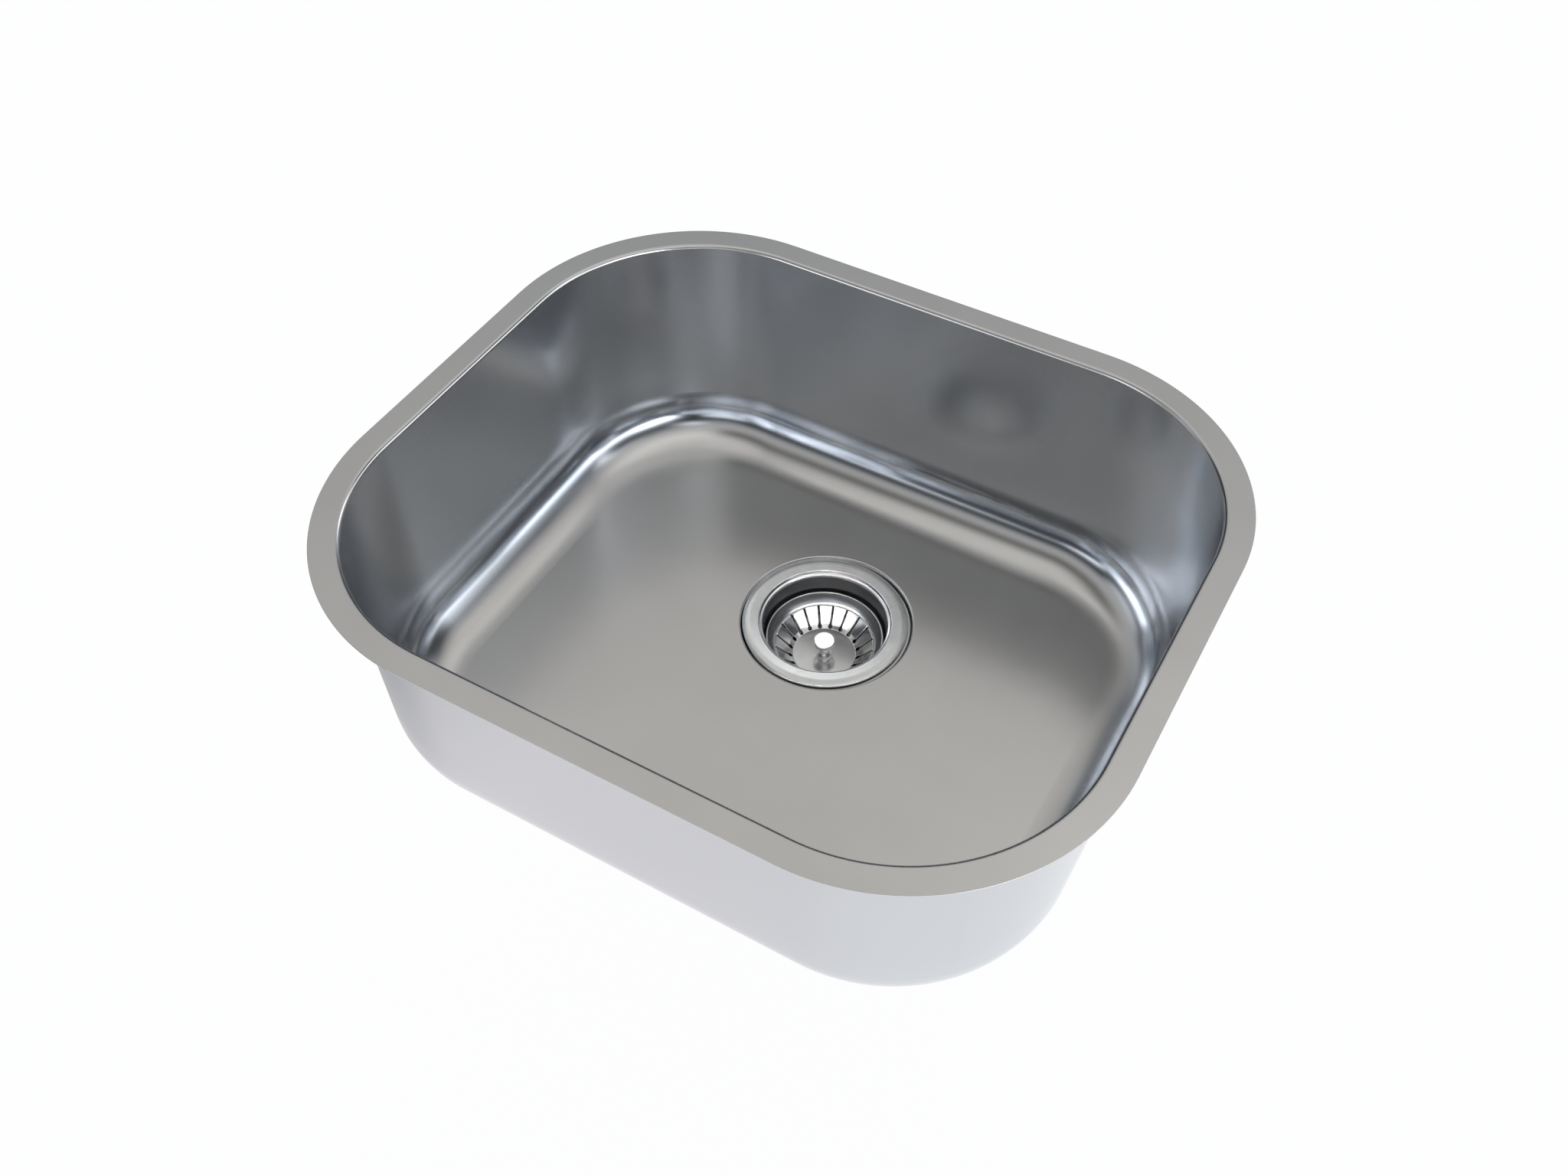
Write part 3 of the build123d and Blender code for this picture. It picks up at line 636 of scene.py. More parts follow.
def turned_steel(name, colour, dull, roughness, ring_relief, unpolished_painted_shade=None, rim_grain_and_highlight=0.0):
    """Stainless steel that was polished while it turned: fine rings round the drain's axis. Between the
    heights where it is left unpolished it is rougher, and inside the throat its colour is darkened as
    painted shade. With a rim's grain it is rougher further out, and just outside the throat its colour
    is lightened as a painted highlight."""
    material, shade, place = new_material(name)
    centred = shade.vector("SUBTRACT", place, (*DRAIN_CENTRE, 0.0))
    radius = shade.vector("LENGTH", shade.vector("MULTIPLY", centred, NO_HEIGHT), output="Value")
    height = place.part("Z")
    inputs = {"W": radius + height, "Scale": POLISH_RINGS, "Detail": 2.0}
    rings = shade.node("TexNoise", {"noise_dimensions": "1D"}, inputs)
    clouds = noise(shade, place, 60.0)
    base = clouds.step(0.3, 0.7).blend(dull, colour)
    grain = rings * 0.05 + clouds * 0.04 + (roughness - 0.045)
    if unpolished_painted_shade:
        foot, top, dark = unpolished_painted_shade
        # painted shade: inside the throat between these heights the colour is darkened; the added roughness
        # is the unpolished finish
        unpolished_shaded_mask = height.step(foot, foot + 1.0 * MM) * height.step(top, top - 0.8 * MM)
        unpolished_shaded_mask = unpolished_shaded_mask * radius.step(*INSIDE_ENDS)
        base = unpolished_shaded_mask.blend(base, dark)
        grain = grain + unpolished_shaded_mask * UNPOLISHED_GRAIN
    if rim_grain_and_highlight:
        grain = grain + radius.step(*RIM_STARTS) * rim_grain_and_highlight
        # painted highlight: just outside the throat the colour is lightened to near white
        base = (radius.step(*MOUTH_STARTS) * radius.step(*MOUTH_ENDS)).blend(base, MOUTH_PAINTED_HIGHLIGHT)
    add_surface(shade, base, grain, rings * ring_relief)
    return material


# the strainer cup's inside wall: rougher where unpolished, and darkened in colour as painted shade
unpolished_painted_shade_wall = (seat_z + SEAT_RISE, step_foot_z - 1.2 * MM, (0.23, 0.235, 0.245))
body_steel = turned_steel(
    "turned stainless steel", (0.68, 0.69, 0.69), (0.64, 0.65, 0.65), 0.14, 0.0010 * MM, unpolished_painted_shade_wall, 0.14
)
body_section = np.concatenate([body_line, under_side(body_line, BODY_SHEET)[::-1]])
strainer_body = mesh_object(
    "pressed_strainer_body",
    turned_form(body_section),
    thread_form(THROAT + BODY_SHEET, rim_z - BODY_THREAD_TOP, BODY_THREAD_TURNS),
)
fit(strainer_body, body_steel, "strainer_body")


# --- Rim gasket ---
# A ring of black closed-cell foam under the strainer's rim, squeezed between it and the recess.
RIM_GASKET_INSET = 1.2 * MM
FOAM_EDGE = 0.3 * MM


def closed_line(corners, radii, steps=4):
    """A closed line through corners of one radius or of one each. It starts in its last leg's middle."""
    start = (np.asarray(corners[0]) + np.asarray(corners[-1])) / 2
    radii = np.broadcast_to(radii, len(corners))
    return bent_line([start, *corners, start], radii, steps, hold=0.1 * MM)[:-1]


def turned_ring(name, corners, radii):
    """A ring turned round the drain's axis: its section runs anticlockwise through the corners."""
    return mesh_object(name, turned_form(closed_line(corners, radii)))


def square_section(outer, inner, top, height):
    return [(outer, top - height), (outer, top), (inner, top), (inner, top - height)]


def washer(name, outer, inner, top, height, edge):
    return turned_ring(name, square_section(outer, inner, top, height), edge)


recess_z = -BOWL_DEPTH - RECESS_DEPTH
rim_slope = RIM_FALL / (BODY_FLANGE - RIM_BEVEL - RIM_INNER)
foam_inner, foam_outer = RIM_INNER + RIM_GASKET_INSET, BODY_FLANGE - RIM_BEVEL - RIM_GASKET_INSET
foam_tops = [
    rim_z - BODY_SHEET * math.hypot(1.0, rim_slope) - rim_slope * (BODY_FLANGE - RIM_BEVEL - radius)
    for radius in (foam_outer, foam_inner)
]
foam = mottled_material("black foam", (0.022, 0.022, 0.024), (0.05, 0.05, 0.052), 0.85, relief=0.1 * MM)
foam_corners = [
    (foam_outer, recess_z), (foam_outer, foam_tops[0]), (foam_inner, foam_tops[1]), (foam_inner, recess_z)
]
fit(turned_ring("foam_rim_gasket", foam_corners, FOAM_EDGE), foam, "rim_gasket")


# --- Under gasket and friction washer ---
# A moulded black rubber ring seals the hole from below, and a washer of pressed brown fibre lets
# the nut turn on it without dragging it round.
UNDER_GASKET = 3.0 * MM
FRICTION_WASHER = 1.0 * MM
CLAMP_WIDTH = 11.2 * MM
FIT_GAP = 0.1 * MM
MOULDED_EDGE = 0.8 * MM
STAMPED_EDGE = 0.15 * MM

under_z = recess_z - SHEET
washer_z = under_z - UNDER_GASKET
nut_z = washer_z - FRICTION_WASHER
thread_bore = THROAT + BODY_SHEET + THREAD_DEPTH + FIT_GAP
clamp_radius = thread_bore + CLAMP_WIDTH
rubber = mottled_material(
    "black moulded rubber", (0.026, 0.026, 0.028), (0.042, 0.042, 0.044), 0.5, relief=0.02 * MM
)
fibre = mottled_material("pressed brown fibre", (0.27, 0.17, 0.10), (0.43, 0.30, 0.19), 0.8, relief=0.06 * MM)
under_gasket = washer("rubber_under_gasket", clamp_radius, thread_bore, under_z, UNDER_GASKET, MOULDED_EDGE)
fit(under_gasket, rubber, "under_gasket")
friction_washer = washer(
    "fibre_friction_washer", clamp_radius, thread_bore, washer_z, FRICTION_WASHER, STAMPED_EDGE
)
fit(friction_washer, fibre, "friction_washer")


# --- Lock nut ---
# Die-cast zinc, with a flange that bears on the washer and eight lugs for a spanner. It runs on
# the strainer body's thread.
NUT_WALL = 4.2 * MM
NUT_HEIGHT = 14.0 * MM
NUT_FLANGE = 3.5 * MM
NUT_LUGS = 8
LUG_WIDTH = 9.0 * MM
LUG_SET_BACK = 1.0 * MM
CAST_EDGE = 0.6 * MM


def sectors(count, marks):
    """Angles of the columns of a piece with like sectors: the marks within one, repeated round it."""
    return (np.arange(count)[:, None] * (math.tau / count) + np.asarray(marks)).ravel()


def ribbed(count, marks, rise):
    """The columns of a piece with like ribs: their angles, and how far each stands out."""
    between = np.linspace(marks[-1], math.tau / count + marks[0], 6)[1:-1]
    rise = np.concatenate([rise, np.zeros(len(between))])
    return sectors(count, np.concatenate([marks, between])), np.tile(rise, count)


nut_wall_radius = thread_bore + NUT_WALL
lug_rise = clamp_radius - LUG_SET_BACK - nut_wall_radius
lug_half = math.asin(LUG_WIDTH / 2 / clamp_radius)
# across half a lug: its side falls over a tenth of its half width, with a rounded shoulder and foot
half_marks = np.array([0.4, 0.86, 0.94, 1.0, 1.06, 1.12, 1.5])
half_profile = np.array([1.0, 1.0, 0.95, 0.5, 0.05, 0.0, 0.0])
lug_marks = lug_half * np.concatenate([-half_marks[::-1], half_marks])
lug_profile = np.concatenate([half_profile[::-1], half_profile])
nut_angles, lug_swell = ribbed(NUT_LUGS, lug_marks, lug_profile * lug_rise)
nut_corners = [
    (thread_bore, nut_z - NUT_HEIGHT), (nut_wall_radius, nut_z - NUT_HEIGHT),
    (nut_wall_radius, nut_z - NUT_FLANGE), (clamp_radius, nut_z - NUT_FLANGE),
    (clamp_radius, nut_z), (thread_bore, nut_z),
]
nut_line = closed_line(nut_corners, CAST_EDGE)
# the lugs move the wall out in full, its ends less and less towards the bore and the flange's edge
in_reach = np.minimum(
    (nut_line[:, 0] - thread_bore - CAST_EDGE) / (NUT_WALL - 2 * CAST_EDGE),
    (clamp_radius - nut_line[:, 0]) / (clamp_radius - nut_wall_radius - CAST_EDGE),
)
lug_share = np.where(nut_line[:, 1] < nut_z - NUT_FLANGE + CAST_EDGE / 4, np.clip(in_reach, 0.0, 1.0), 0.0)
zinc = mottled_material(
    "die-cast zinc", (0.44, 0.45, 0.46), (0.56, 0.57, 0.58), 0.42, metallic=1.0, grain=0.35 * MM
)
lock_nut = mesh_object("cast_lock_nut", turned_form(nut_line, nut_angles, lug_share[:, None] * lug_swell))
fit(lock_nut, zinc, "lock_nut")


# --- Outlet nipple ---
# Chrome-plated brass, brazed under the strainer's bottom, threaded for the coupling nut, with a
# pocket in its top for the guide cross.
NIPPLE_RADIUS = 23.0 * MM
NIPPLE_BORE = 18.5 * MM
NIPPLE_FLANGE = 28.5 * MM
NIPPLE_FLANGE_HEIGHT = 1.6 * MM
NIPPLE_LENGTH = 24.0 * MM
NIPPLE_THREAD_TURNS = 10
CROSS_POCKET = 19.8 * MM
CROSS_DEPTH = 11.7 * MM
NIPPLE_EDGE = 0.25 * MM

nipple_foot = seat_z - NIPPLE_LENGTH
nipple_top = seat_z - BODY_SHEET
nipple_flange_foot = nipple_top - NIPPLE_FLANGE_HEIGHT
cross_z = seat_z - CROSS_DEPTH
spigot = SEAT_INNER - FIT_GAP
nipple_corners = [
    (NIPPLE_BORE, nipple_foot), (NIPPLE_RADIUS, nipple_foot),
    (NIPPLE_RADIUS, nipple_flange_foot), (NIPPLE_FLANGE, nipple_flange_foot),
    (NIPPLE_FLANGE, nipple_top), (spigot, nipple_top),
    (spigot, seat_z), (CROSS_POCKET, seat_z),
    (CROSS_POCKET, cross_z), (NIPPLE_BORE, cross_z),
]
plated = turned_steel("chrome-plated brass", (0.74, 0.74, 0.745), (0.71, 0.71, 0.715), 0.13, 0.0004 * MM)
nipple_thread_top = nipple_foot + NIPPLE_THREAD_TURNS * THREAD_PITCH + THREAD_DEPTH
outlet_nipple = mesh_object(
    "threaded_outlet",
    turned_form(closed_line(nipple_corners, NIPPLE_EDGE, steps=3)),
    thread_form(NIPPLE_RADIUS, nipple_thread_top, NIPPLE_THREAD_TURNS),
)
fit(outlet_nipple, plated, "outlet_nipple")


# --- Guide cross ---
# A plated casting pressed into the outlet's pocket: a ring, and four arms that hold a small eye
# in which the basket's stem slides.
CROSS_HEIGHT = 3.0 * MM
CROSS_RIM = 1.5 * MM
CROSS_ARM = 2.4 * MM
CROSS_HUB = 6.2 * MM
CROSS_BORE = 3.4 * MM
CROSS_EDGE = 0.3 * MM
ARM_EDGE = 0.4 * MM

cross_top = cross_z + CROSS_HEIGHT
cross_outer = CROSS_POCKET - FIT_GAP
arm_centres, arm_outward = rounded_loop(CROSS_ARM / 2 - ARM_EDGE, CROSS_HEIGHT / 2 - ARM_EDGE, 4, 1, 1)
arm_loop = arm_centres + ARM_EDGE * arm_outward
arm_from, arm_to = (CROSS_HUB + CROSS_BORE) / 2, cross_outer - CROSS_RIM / 2
arm_rows = np.empty((2, len(arm_loop), 3))
arm_rows[:, :, 0] = np.array([arm_from, arm_to])[:, None]
arm_rows[:, :, 1:] = arm_loop + (0.0, cross_top - CROSS_HEIGHT / 2)
cross_forms = [
    turned_form(closed_line(square_section(outer, inner, cross_top, CROSS_HEIGHT), CROSS_EDGE))
    for outer, inner in [(cross_outer, cross_outer - CROSS_RIM), (CROSS_HUB, CROSS_BORE)]
]
for along_x, along_y in [(1, 0), (0, 1), (-1, 0), (0, -1)]:
    turned_arm = arm_rows @ np.array([(along_x, along_y, 0), (-along_y, along_x, 0), (0, 0, 1)])
    cross_forms.append(capped(turned_arm + (*DRAIN_CENTRE, 0.0)))
fit(mesh_object("outlet_guide_cross", *cross_forms), plated, "guide_cross")


# --- Tailpiece and its washer ---
# A flanged tube of plated brass for the trap to slide on, with a thicker neck under its flange,
# sealed to the outlet by a milky polyethylene washer.
TAIL_RADIUS = 19.05 * MM
TAIL_WALL = 1.5 * MM
TAIL_LENGTH = 70.0 * MM
TAIL_FLANGE = 22.8 * MM
TAIL_FLANGE_HEIGHT = 2.5 * MM
TAIL_WASHER = 2.5 * MM
TAIL_NECK = 19.6 * MM
TAIL_NECK_LENGTH = 6.0 * MM
TAIL_EDGES = MM * np.array([0.5, 0.5, 0.2, 0.2, 0.3, 0.5, 0.5, 0.5])
TAIL_WASHER_EDGE = 0.4 * MM

tail_bore = TAIL_RADIUS - TAIL_WALL
tail_top = nipple_foot - TAIL_WASHER
tail_foot = tail_top - TAIL_LENGTH
flange_foot = tail_top - TAIL_FLANGE_HEIGHT
neck_foot = flange_foot - TAIL_NECK_LENGTH
tail_corners = [
    (tail_bore, tail_foot), (TAIL_RADIUS, tail_foot),
    (TAIL_RADIUS, neck_foot), (TAIL_NECK, neck_foot),
    (TAIL_NECK, flange_foot), (TAIL_FLANGE, flange_foot),
    (TAIL_FLANGE, tail_top), (tail_bore, tail_top),
]
fit(turned_ring("flanged_tailpiece", tail_corners, TAIL_EDGES), plated, "tailpiece")
milky = mottled_material("milky polyethylene", (0.72, 0.71, 0.67), (0.77, 0.76, 0.72), 0.45, relief=0.01 * MM)
tailpiece_washer = washer(
    "polyethylene_tail_washer", TAIL_FLANGE, tail_bore, nipple_foot, TAIL_WASHER, TAIL_WASHER_EDGE
)
fit(tailpiece_washer, milky, "tailpiece_washer")


# --- Coupling nut ---
# Plated brass, ribbed for the hand, it screws up over the outlet and pulls the tailpiece's flange
# against the washer with the lip at its foot.
COUPLING_WALL = 3.2 * MM
COUPLING_LIP = 3.0 * MM
COUPLING_GRIP = 14.0 * MM
COUPLING_RIBS = 10
RIB_RADIUS = 1.6 * MM
COUPLING_EDGE = 0.7 * MM
COUPLING_EDGES = MM * np.array([0.3, 0.7, 0.7, 0.7, 0.3, 0.3])
COUPLING_LONGEST_STEP = 0.5 * MM


def finer(line, longest):
    """The same line with extra points, so that no step along it is longer than this."""
    run = run_along(line)
    places = np.union1d(run, np.arange(0.0, run[-1], longest))
    return np.column_stack([np.interp(places, run, line[:, axis]) for axis in (0, 1)])


coupling_bore = NIPPLE_RADIUS + THREAD_DEPTH + FIT_GAP
coupling_outer = coupling_bore + COUPLING_WALL
coupling_top = nipple_foot + COUPLING_GRIP
coupling_foot = flange_foot - COUPLING_LIP
coupling_corners = [
    (TAIL_NECK + FIT_GAP, coupling_foot), (coupling_outer, coupling_foot),
    (coupling_outer, coupling_top), (coupling_bore, coupling_top),
    (coupling_bore, flange_foot), (TAIL_NECK + FIT_GAP, flange_foot),
]
coupling_line = finer(closed_line(coupling_corners, COUPLING_EDGES), COUPLING_LONGEST_STEP)
# a rib is half a round bar: how far it stands out goes as the height of a circle over its chord
rib_offsets = RIB_RADIUS * np.sin(np.linspace(-math.pi / 2, math.pi / 2, 11))
rib_marks = np.arcsin(rib_offsets / coupling_outer)
rib_rise = np.sqrt(np.maximum(RIB_RADIUS**2 - rib_offsets**2, 0.0))
coupling_angles, rib_swell = ribbed(COUPLING_RIBS, rib_marks, rib_rise)
line_radius, line_height = coupling_line.T
rib_from_end = np.minimum(line_height - coupling_foot, coupling_top - line_height) - RIB_RADIUS
rib_length_share = np.sqrt(1.0 - (1.0 - np.clip(rib_from_end / RIB_RADIUS, 0.0, 1.0)) ** 2)
on_outside = np.clip((line_radius - coupling_outer) / COUPLING_EDGE + 1.0, 0.0, 1.0)
rib_swell = (rib_length_share * on_outside)[:, None] * rib_swell
coupling_nut = mesh_object("ribbed_coupling_nut", turned_form(coupling_line, coupling_angles, rib_swell))
fit(coupling_nut, plated, "coupling_nut")


# --- Basket cup ---
# Pressed from polished stainless steel: a rolled rim, a plain wall, a proud ledge, and a slotted
# part whose twenty slots end in round holes, about a flat middle.
BASKET_SHEET = 0.6 * MM
BASKET_RIM = 41.0 * MM
BASKET_RIM_DEPTH = 17.5 * MM
RIM_ROLL = 1.1 * MM
RIM_FLAT = 0.3 * MM
WALL_BULGE = 0.9 * MM
BASKET_WALL_FOOT = 35.0 * MM
BASKET_WALL_FOOT_DEPTH = 25.4 * MM
STEP_IN = 1.1 * MM
STEP_RISE = 0.5 * MM
BASKET_KNEE = 24.8 * MM
BASKET_KNEE_DEPTH = 34.8 * MM
BASKET_FLOOR = 22.2 * MM
BASKET_DEPTH = 36.6 * MM
SLOTS = 20
SLOT_WIDTH = 1.1 * MM
SLOT_HOLE = 2.9 * MM
SLOT_MARGIN = 0.3 * MM
STEM_RADIUS = 2.5 * MM
# the rolled rim's two edges, the wall, the ledge's foot and top, the knee and the floor's edge
BASKET_BENDS = MM * np.array([0.7, 0.6, 17.0, 0.3, 0.9, 1.6, 1.0])
SAME_PLACE = 0.01 * MM


def sheet_form(top, under, quads):
    """A form of a sheet between two grids of points: the quads on both, and a wall between them
    along every edge that only one quad has."""
    count = top.size // 3
    edges = np.concatenate([quads[:, [0, 1]], quads[:, [1, 2]], quads[:, [2, 3]], quads[:, [3, 0]]])
    free = edges[~np.isin(edges @ (count, 1), edges @ (1, count))]
    walls = np.column_stack([free[:, ::-1], free + count])
    points = np.concatenate([top.reshape(-1, 3), under.reshape(-1, 3)])
    return points, [quads, quads[:, ::-1] + count, walls]


basket_z = rim_z - BASKET_DEPTH
basket_rim_z = rim_z - BASKET_RIM_DEPTH
basket_foot_z = rim_z - BASKET_WALL_FOOT_DEPTH
basket_corners = [
    (BASKET_RIM, basket_rim_z - RIM_ROLL), (BASKET_RIM, basket_rim_z),
    (BASKET_RIM - RIM_ROLL - RIM_FLAT, basket_rim_z),
    ((BASKET_RIM - RIM_ROLL + BASKET_WALL_FOOT) / 2 + WALL_BULGE, (basket_rim_z + basket_foot_z) / 2),
    (BASKET_WALL_FOOT, basket_foot_z), (BASKET_WALL_FOOT - STEP_IN, basket_foot_z + STEP_RISE),
    (BASKET_KNEE, rim_z - BASKET_KNEE_DEPTH), (BASKET_FLOOR, basket_z), (STEM_RADIUS, basket_z),
]
basket_line = bent_line(basket_corners, BASKET_BENDS, steps=6, hold=0.05 * MM)
hole_centre = BASKET_FLOOR + SLOT_HOLE / 2
slot_end_centre = BASKET_WALL_FOOT - SLOT_MARGIN - SLOT_WIDTH / 2
hole_radii = hole_centre - SLOT_HOLE / 2 * np.cos(np.linspace(0.12, math.pi - 0.4, 9))
end_radii = slot_end_centre + SLOT_WIDTH / 2 * np.cos(np.linspace(0.2, math.pi / 2, 4))
inner_part = basket_line[:, 0] < BASKET_RIM - RIM_ROLL
falling_radius, falling_height = basket_line[inner_part].T
extra_radii = np.concatenate([hole_radii, end_radii, np.linspace(STEM_RADIUS, BASKET_FLOOR, 8)[1:-1]])
row_radii = np.union1d(falling_radius, extra_radii)[::-1]
row_radii = row_radii[np.diff(row_radii, prepend=1.0) < -SAME_PLACE]
row_heights = np.interp(row_radii, falling_radius[::-1], falling_height[::-1])
cup_line = np.concatenate([basket_line[~inner_part], np.column_stack([row_radii, row_heights])])
radius = cup_line[:, 0]
half_hole = np.sqrt(np.clip((SLOT_HOLE / 2) ** 2 - (radius - hole_centre) ** 2, 0.0, None))
past_end = np.clip(radius - slot_end_centre, 0.0, None)
half_end = np.sqrt(np.clip((SLOT_WIDTH / 2) ** 2 - past_end**2, 0.0, None))
half_opening = np.maximum(half_hole, np.where(radius > hole_centre, half_end, 0.0))
opened = (radius > hole_radii[0] - SAME_PLACE) & (radius < end_radii[0] + SAME_PLACE)
half_opening = np.where(opened, half_opening, SLOT_WIDTH / 2)
opening_angle = np.arcsin(half_opening / np.maximum(radius, SLOT_WIDTH))
half_sector = math.pi / SLOTS
# the columns from the edge of a slot to the middle of the land beside it
land_share = np.array([1.0, 0.55, 0.14, 0.0])
one_side = opening_angle[:, None] + land_share * (half_sector - opening_angle[:, None])
one_sector = np.concatenate([-one_side, one_side[:, :0:-1]], axis=1)
cup_angles = np.arange(SLOTS)[:, None] * (2 * half_sector) + one_sector[:, None, :]
cup_compass = compass(cup_angles.reshape(len(radius), -1))
cup_rows = drain_rows(cup_line, cup_compass)
under_rows = drain_rows(under_side(cup_line, BASKET_SHEET), cup_compass)
quads = grid_quads(round_index(cup_rows)).reshape(len(radius) - 1, -1, 4)
in_slot = np.arange(cup_rows.shape[1]) % one_sector.shape[1] == len(land_share) - 1
kept = ~(in_slot & (opened[:-1] & opened[1:])[:, None])
# the basket's plain wall: rougher where unpolished, and darkened in colour as painted shade
unpolished_painted_shade_wall = (basket_foot_z + STEP_RISE, basket_rim_z - 0.2 * MM, (0.31, 0.315, 0.325))
cup_steel = turned_steel(
    "pressed stainless steel", (0.78, 0.78, 0.78), (0.72, 0.72, 0.72), 0.155, 0.0004 * MM, unpolished_painted_shade_wall
)
basket_cup = mesh_object("slotted_basket_cup", sheet_form(cup_rows, under_rows, quads[kept]))
fit(basket_cup, cup_steel, "basket_cup", "basket")


# --- Basket knob and stem ---
# A turned and polished knob with a narrow waist and a dished head, screwed on a steel rod that
# runs down through the cup, the seal and the guide cross.
KNOB_HEAD = 7.7 * MM
KNOB_HEIGHT = 14.7 * MM
KNOB_WAIST = 3.7 * MM
KNOB_BASE = 5.9 * MM
KNOB_HEAD_HEIGHT = 4.4 * MM
KNOB_BASE_HEIGHT = 1.2 * MM
KNOB_WAIST_FOOT = 3.4 * MM
KNOB_FLARE = 2.0 * MM
KNOB_LIP = 1.0 * MM
KNOB_DISH = 1.0 * MM
# the stem's hole, the base, the waist's foot and top, and the head's under and upper edge
KNOB_BENDS = MM * np.array([0.1, 0.1, 0.3, 0.4, 1.5, 1.8, 1.0, 1.1])
STEM_CHAMFER = 0.6 * MM
STEM_EDGE = 0.1 * MM
STEM_TOP_EDGE = 0.2 * MM
GROOVE_ROOM = 0.02 * MM
GROOVE_HOLD = 0.05 * MM
STEM_IN_KNOB = 8.0 * MM
STEM_LENGTH = 31.5 * MM
DETENT_DROP = 3.0 * MM
DETENT_WIRE = 0.5 * MM

knob_top = basket_z + KNOB_HEIGHT
head_foot = knob_top - KNOB_HEAD_HEIGHT
stem_top = basket_z + STEM_IN_KNOB
stem_foot = stem_top - STEM_LENGTH
stem_hole = STEM_RADIUS + FIT_GAP / 2
knob_corners = [
    (0.0, stem_top), (stem_hole, stem_top),
    (stem_hole, basket_z), (KNOB_BASE, basket_z),
    (KNOB_BASE, basket_z + KNOB_BASE_HEIGHT), (KNOB_WAIST, basket_z + KNOB_WAIST_FOOT),
    (KNOB_WAIST, head_foot - KNOB_FLARE), (KNOB_HEAD, head_foot + KNOB_LIP),
    (KNOB_HEAD, knob_top), (0.0, knob_top - KNOB_DISH),
]


def turned_solid(name, line):
    """A solid turned round the drain's axis, from a line that starts and ends on that axis."""
    return mesh_object(name, capped(drain_rows(line[1:-1], compass(ROUND[::2]))))


basket_steel = turned_steel(
    "polished stainless steel", (0.80, 0.80, 0.80), (0.74, 0.74, 0.74), 0.09, 0.0004 * MM
)
basket_knob = turned_solid("basket_knob_turned", bent_line(knob_corners, KNOB_BENDS, hold=0.1 * MM))
fit(basket_knob, basket_steel, "basket_knob", "basket")
groove_turn = np.linspace(-math.pi / 2.2, math.pi / 2.2, 9)
groove_reach = DETENT_WIRE + GROOVE_ROOM
ring_middle = np.array([STEM_RADIUS + DETENT_WIRE / 2, cross_z - DETENT_DROP])
groove = ring_middle + groove_reach * compass(groove_turn) * (-1, 1)
groove = groove[groove[:, 0] < STEM_RADIUS]
below_groove = [
    (0.0, stem_foot), (STEM_RADIUS - STEM_CHAMFER, stem_foot),
    (STEM_RADIUS, stem_foot + STEM_CHAMFER), (STEM_RADIUS, groove[0, 1] - GROOVE_HOLD),
]
above_groove = [(STEM_RADIUS, groove[-1, 1] + GROOVE_HOLD), (STEM_RADIUS, stem_top), (0.0, stem_top)]
stem_line = np.concatenate([
    bent_line(below_groove, [STEM_EDGE] * 2, 3, GROOVE_HOLD),
    groove,
    bent_line(above_groove, [STEM_TOP_EDGE], 3),
])
fit(turned_solid("basket_stem_rod", stem_line), basket_steel, "basket_stem", "basket")


# --- Detent ring ---
# A black rubber ring in the stem's groove. It rubs in the guide cross's eye and holds the basket
# up when it is raised.
ring_turn = np.linspace(0.0, math.tau, 24, endpoint=False)
ring_section = ring_middle + DETENT_WIRE * compass(ring_turn)
detent_ring = mesh_object("rubber_detent_ring", turned_form(ring_section, ROUND[::2]))
fit(detent_ring, rubber, "detent_ring", "basket")


# --- Stopper seal ---
# A moulded rubber disc under the basket, with a bevelled edge, that closes on the seat. It is
# free to stay still while the basket above it turns.
SEAL_RADIUS = 26.5 * MM
SEAL_GAP = 0.2 * MM
SEAL_SHOULDER = 5.5 * MM
SEAL_EDGE = 1.6 * MM
SEAL_BEND = 0.5 * MM

seal_top = basket_z - BASKET_SHEET - SEAL_GAP
seal_foot = seat_z + SEAL_GAP
seal_bore = STEM_RADIUS + FIT_GAP
seal_corners = [
    (seal_bore, seal_foot), (SEAL_RADIUS, seal_foot), (SEAL_RADIUS, seal_foot + SEAL_EDGE),
    (SEAL_RADIUS - SEAL_SHOULDER, seal_top), (seal_bore, seal_top),
]
fit(turned_ring("moulded_stopper_seal", seal_corners, SEAL_BEND), rubber, "stopper_seal", "stopper")


# --- Seal retainer and stem nut ---
# A thin steel washer under the seal, and a chamfered hexagon nut that holds it and the basket on
# the stem.
RETAINER_RADIUS = 15.0 * MM
RETAINER_THICKNESS = 0.8 * MM
STEM_NUT_FLATS = 8.0 * MM
STEM_NUT_HEIGHT = 4.0 * MM
STEM_NUT_CHAMFER = math.radians(30)
STEM_NUT_FACE_CUT = 0.1 * MM
RETAINER_EDGE = 0.2 * MM
BORE_CHAMFER = 0.3 * MM

seal_retainer = washer(
    "steel_seal_retainer", RETAINER_RADIUS, stem_hole, seat_z, RETAINER_THICKNESS, RETAINER_EDGE
)
fit(seal_retainer, basket_steel, "seal_retainer", "basket")
nut_top = seat_z - RETAINER_THICKNESS
nut_foot = nut_top - STEM_NUT_HEIGHT
nut_half = STEM_NUT_FLATS / 2
flat_marks = np.radians([-30.0, -29.0, -26.0, -18.0, -9.0, 0.0, 9.0, 18.0, 26.0, 29.0])
nut_columns = sectors(6, flat_marks) + math.pi / 6
nut_radius = np.tile(nut_half / np.cos(flat_marks), 6)
from_end = np.array([0.0, 0.12, 0.24, 0.36, 0.5, 2.0]) * MM
end_limit = nut_half - STEM_NUT_FACE_CUT + from_end / math.tan(STEM_NUT_CHAMFER)
side_radius = np.minimum(nut_radius, end_limit[:, None])
side_radius = np.concatenate([side_radius, side_radius[-2::-1]])
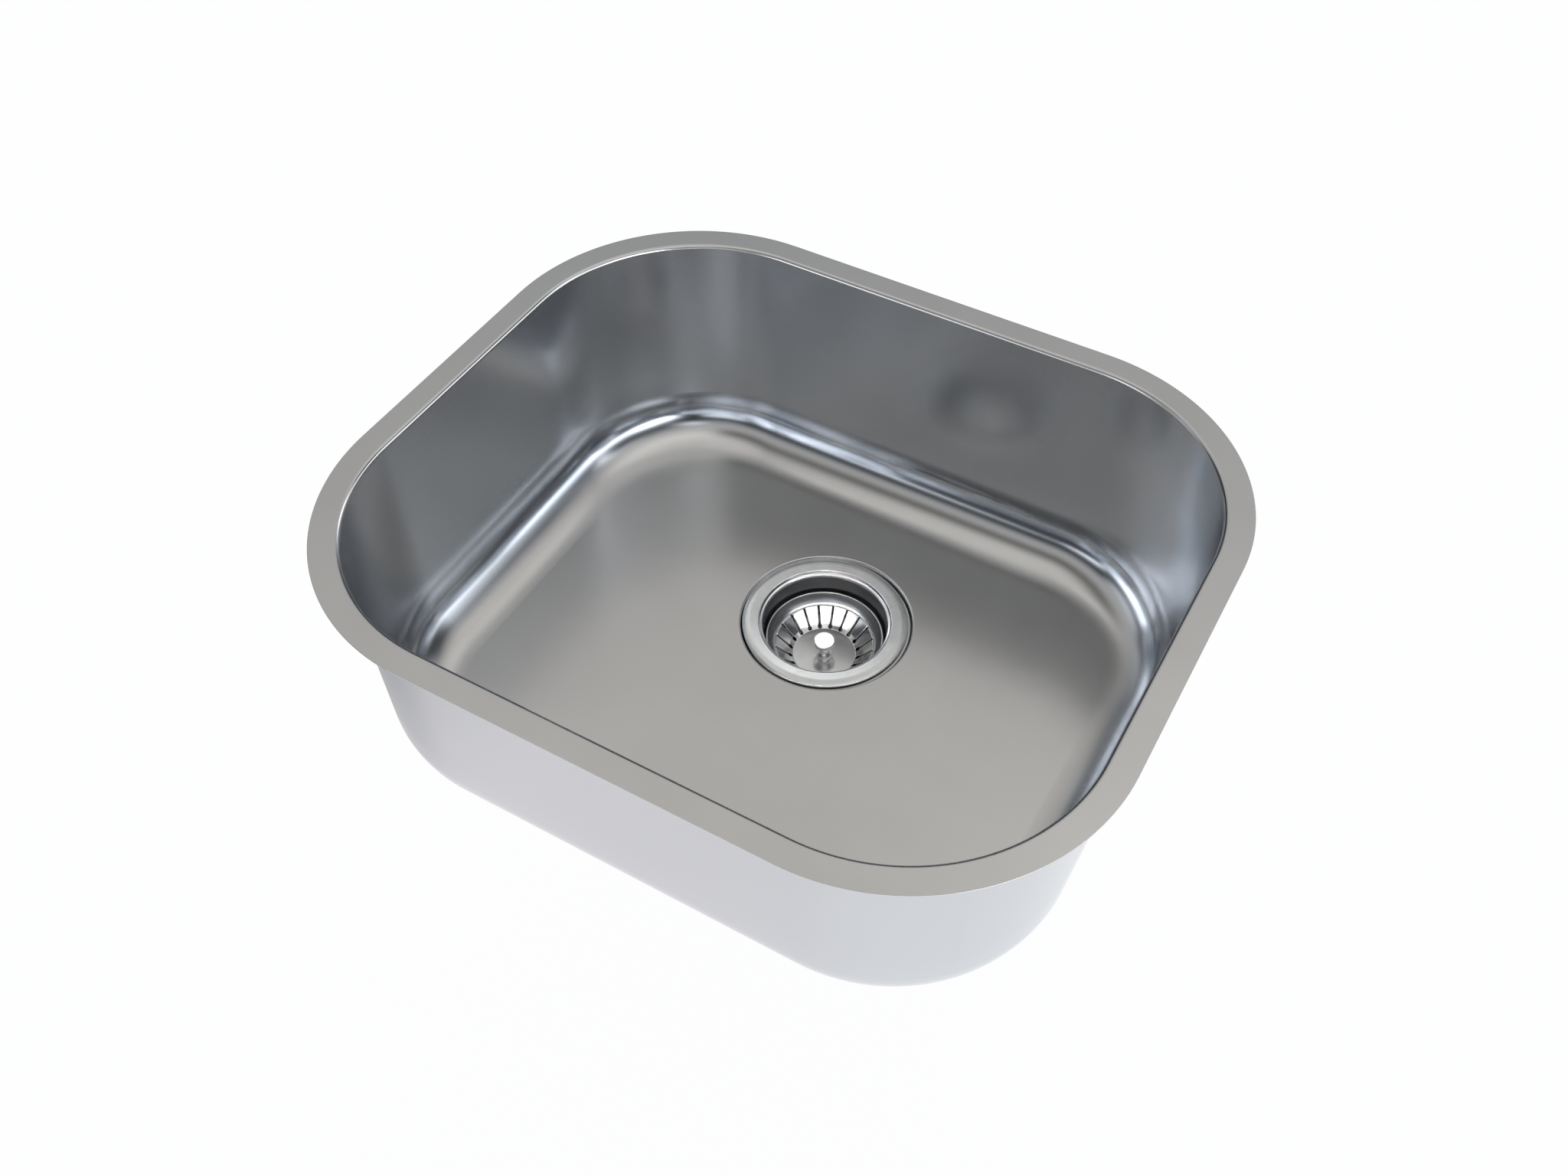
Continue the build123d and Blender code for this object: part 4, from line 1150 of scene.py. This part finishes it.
side_height = nut_foot + np.concatenate([from_end, STEM_NUT_HEIGHT - from_end[-2::-1]])
hex_line = np.concatenate([
    [(stem_hole, nut_foot + BORE_CHAMFER), (stem_hole + BORE_CHAMFER, nut_foot)],
    np.column_stack([np.zeros(len(side_height)), side_height]),
    [(stem_hole + BORE_CHAMFER, nut_top), (stem_hole, nut_top - BORE_CHAMFER)],
])
hex_swell = np.pad(side_radius, ((2, 2), (0, 0)))
stem_nut = mesh_object("hexagon_stem_nut", turned_form(hex_line, nut_columns, hex_swell))
fit(stem_nut, basket_steel, "stem_nut", "basket")


# --- Lamps for the drain ---
# Softboxes that light only the strainer, its basket and the knob, as a picture of a polished
# drain is lit: one in front, a low one behind, and one above.
def drain_softbox(name, pieces, azimuth, elevation, distance, width, height, radiance, echoed=False):
    """A rectangular lamp that faces the drain, with the radiance that a mirror would show. It lights
    only the given pieces, and only they stand in its way. Unless it is echoed, it lights them only
    where the camera sees them, not where the bowl mirrors them."""
    lamp = bpy.data.lights.new(name, "AREA")
    lamp.shape = "RECTANGLE"
    lamp.size, lamp.size_y = width, height
    lamp.energy = radiance * math.pi * width * height
    if not echoed:
        lamp.cycles.max_bounces = 0
        lamp.cycles.use_multiple_importance_sampling = False
    holder = bpy.data.objects.new(name, lamp)
    outward = way(azimuth, elevation)
    holder.location = outward * distance + Vector((*DRAIN_CENTRE, seat_z))
    holder.rotation_euler = outward.to_track_quat("Z", "Y").to_euler()
    scene.collection.objects.link(holder)
    lit = bpy.data.collections.new(name)
    for piece in pieces:
        lit.objects.link(piece)
    holder.light_linking.receiver_collection = lit
    holder.light_linking.blocker_collection = lit


shown_pieces = [strainer_body, basket_cup, basket_knob]
drain_softbox("drain_softbox_front", shown_pieces, -60.0, 44.0, 0.90, 3.2, 0.45, 2.2)
drain_softbox("drain_softbox_echo", shown_pieces[:2], 120.0, 32.0, 1.50, 1.60, 0.75, 1.8, echoed=True)
drain_softbox("drain_softbox_top", shown_pieces[2:], 120.0, 52.0, 1.50, 1.50, 1.30, 1.5)
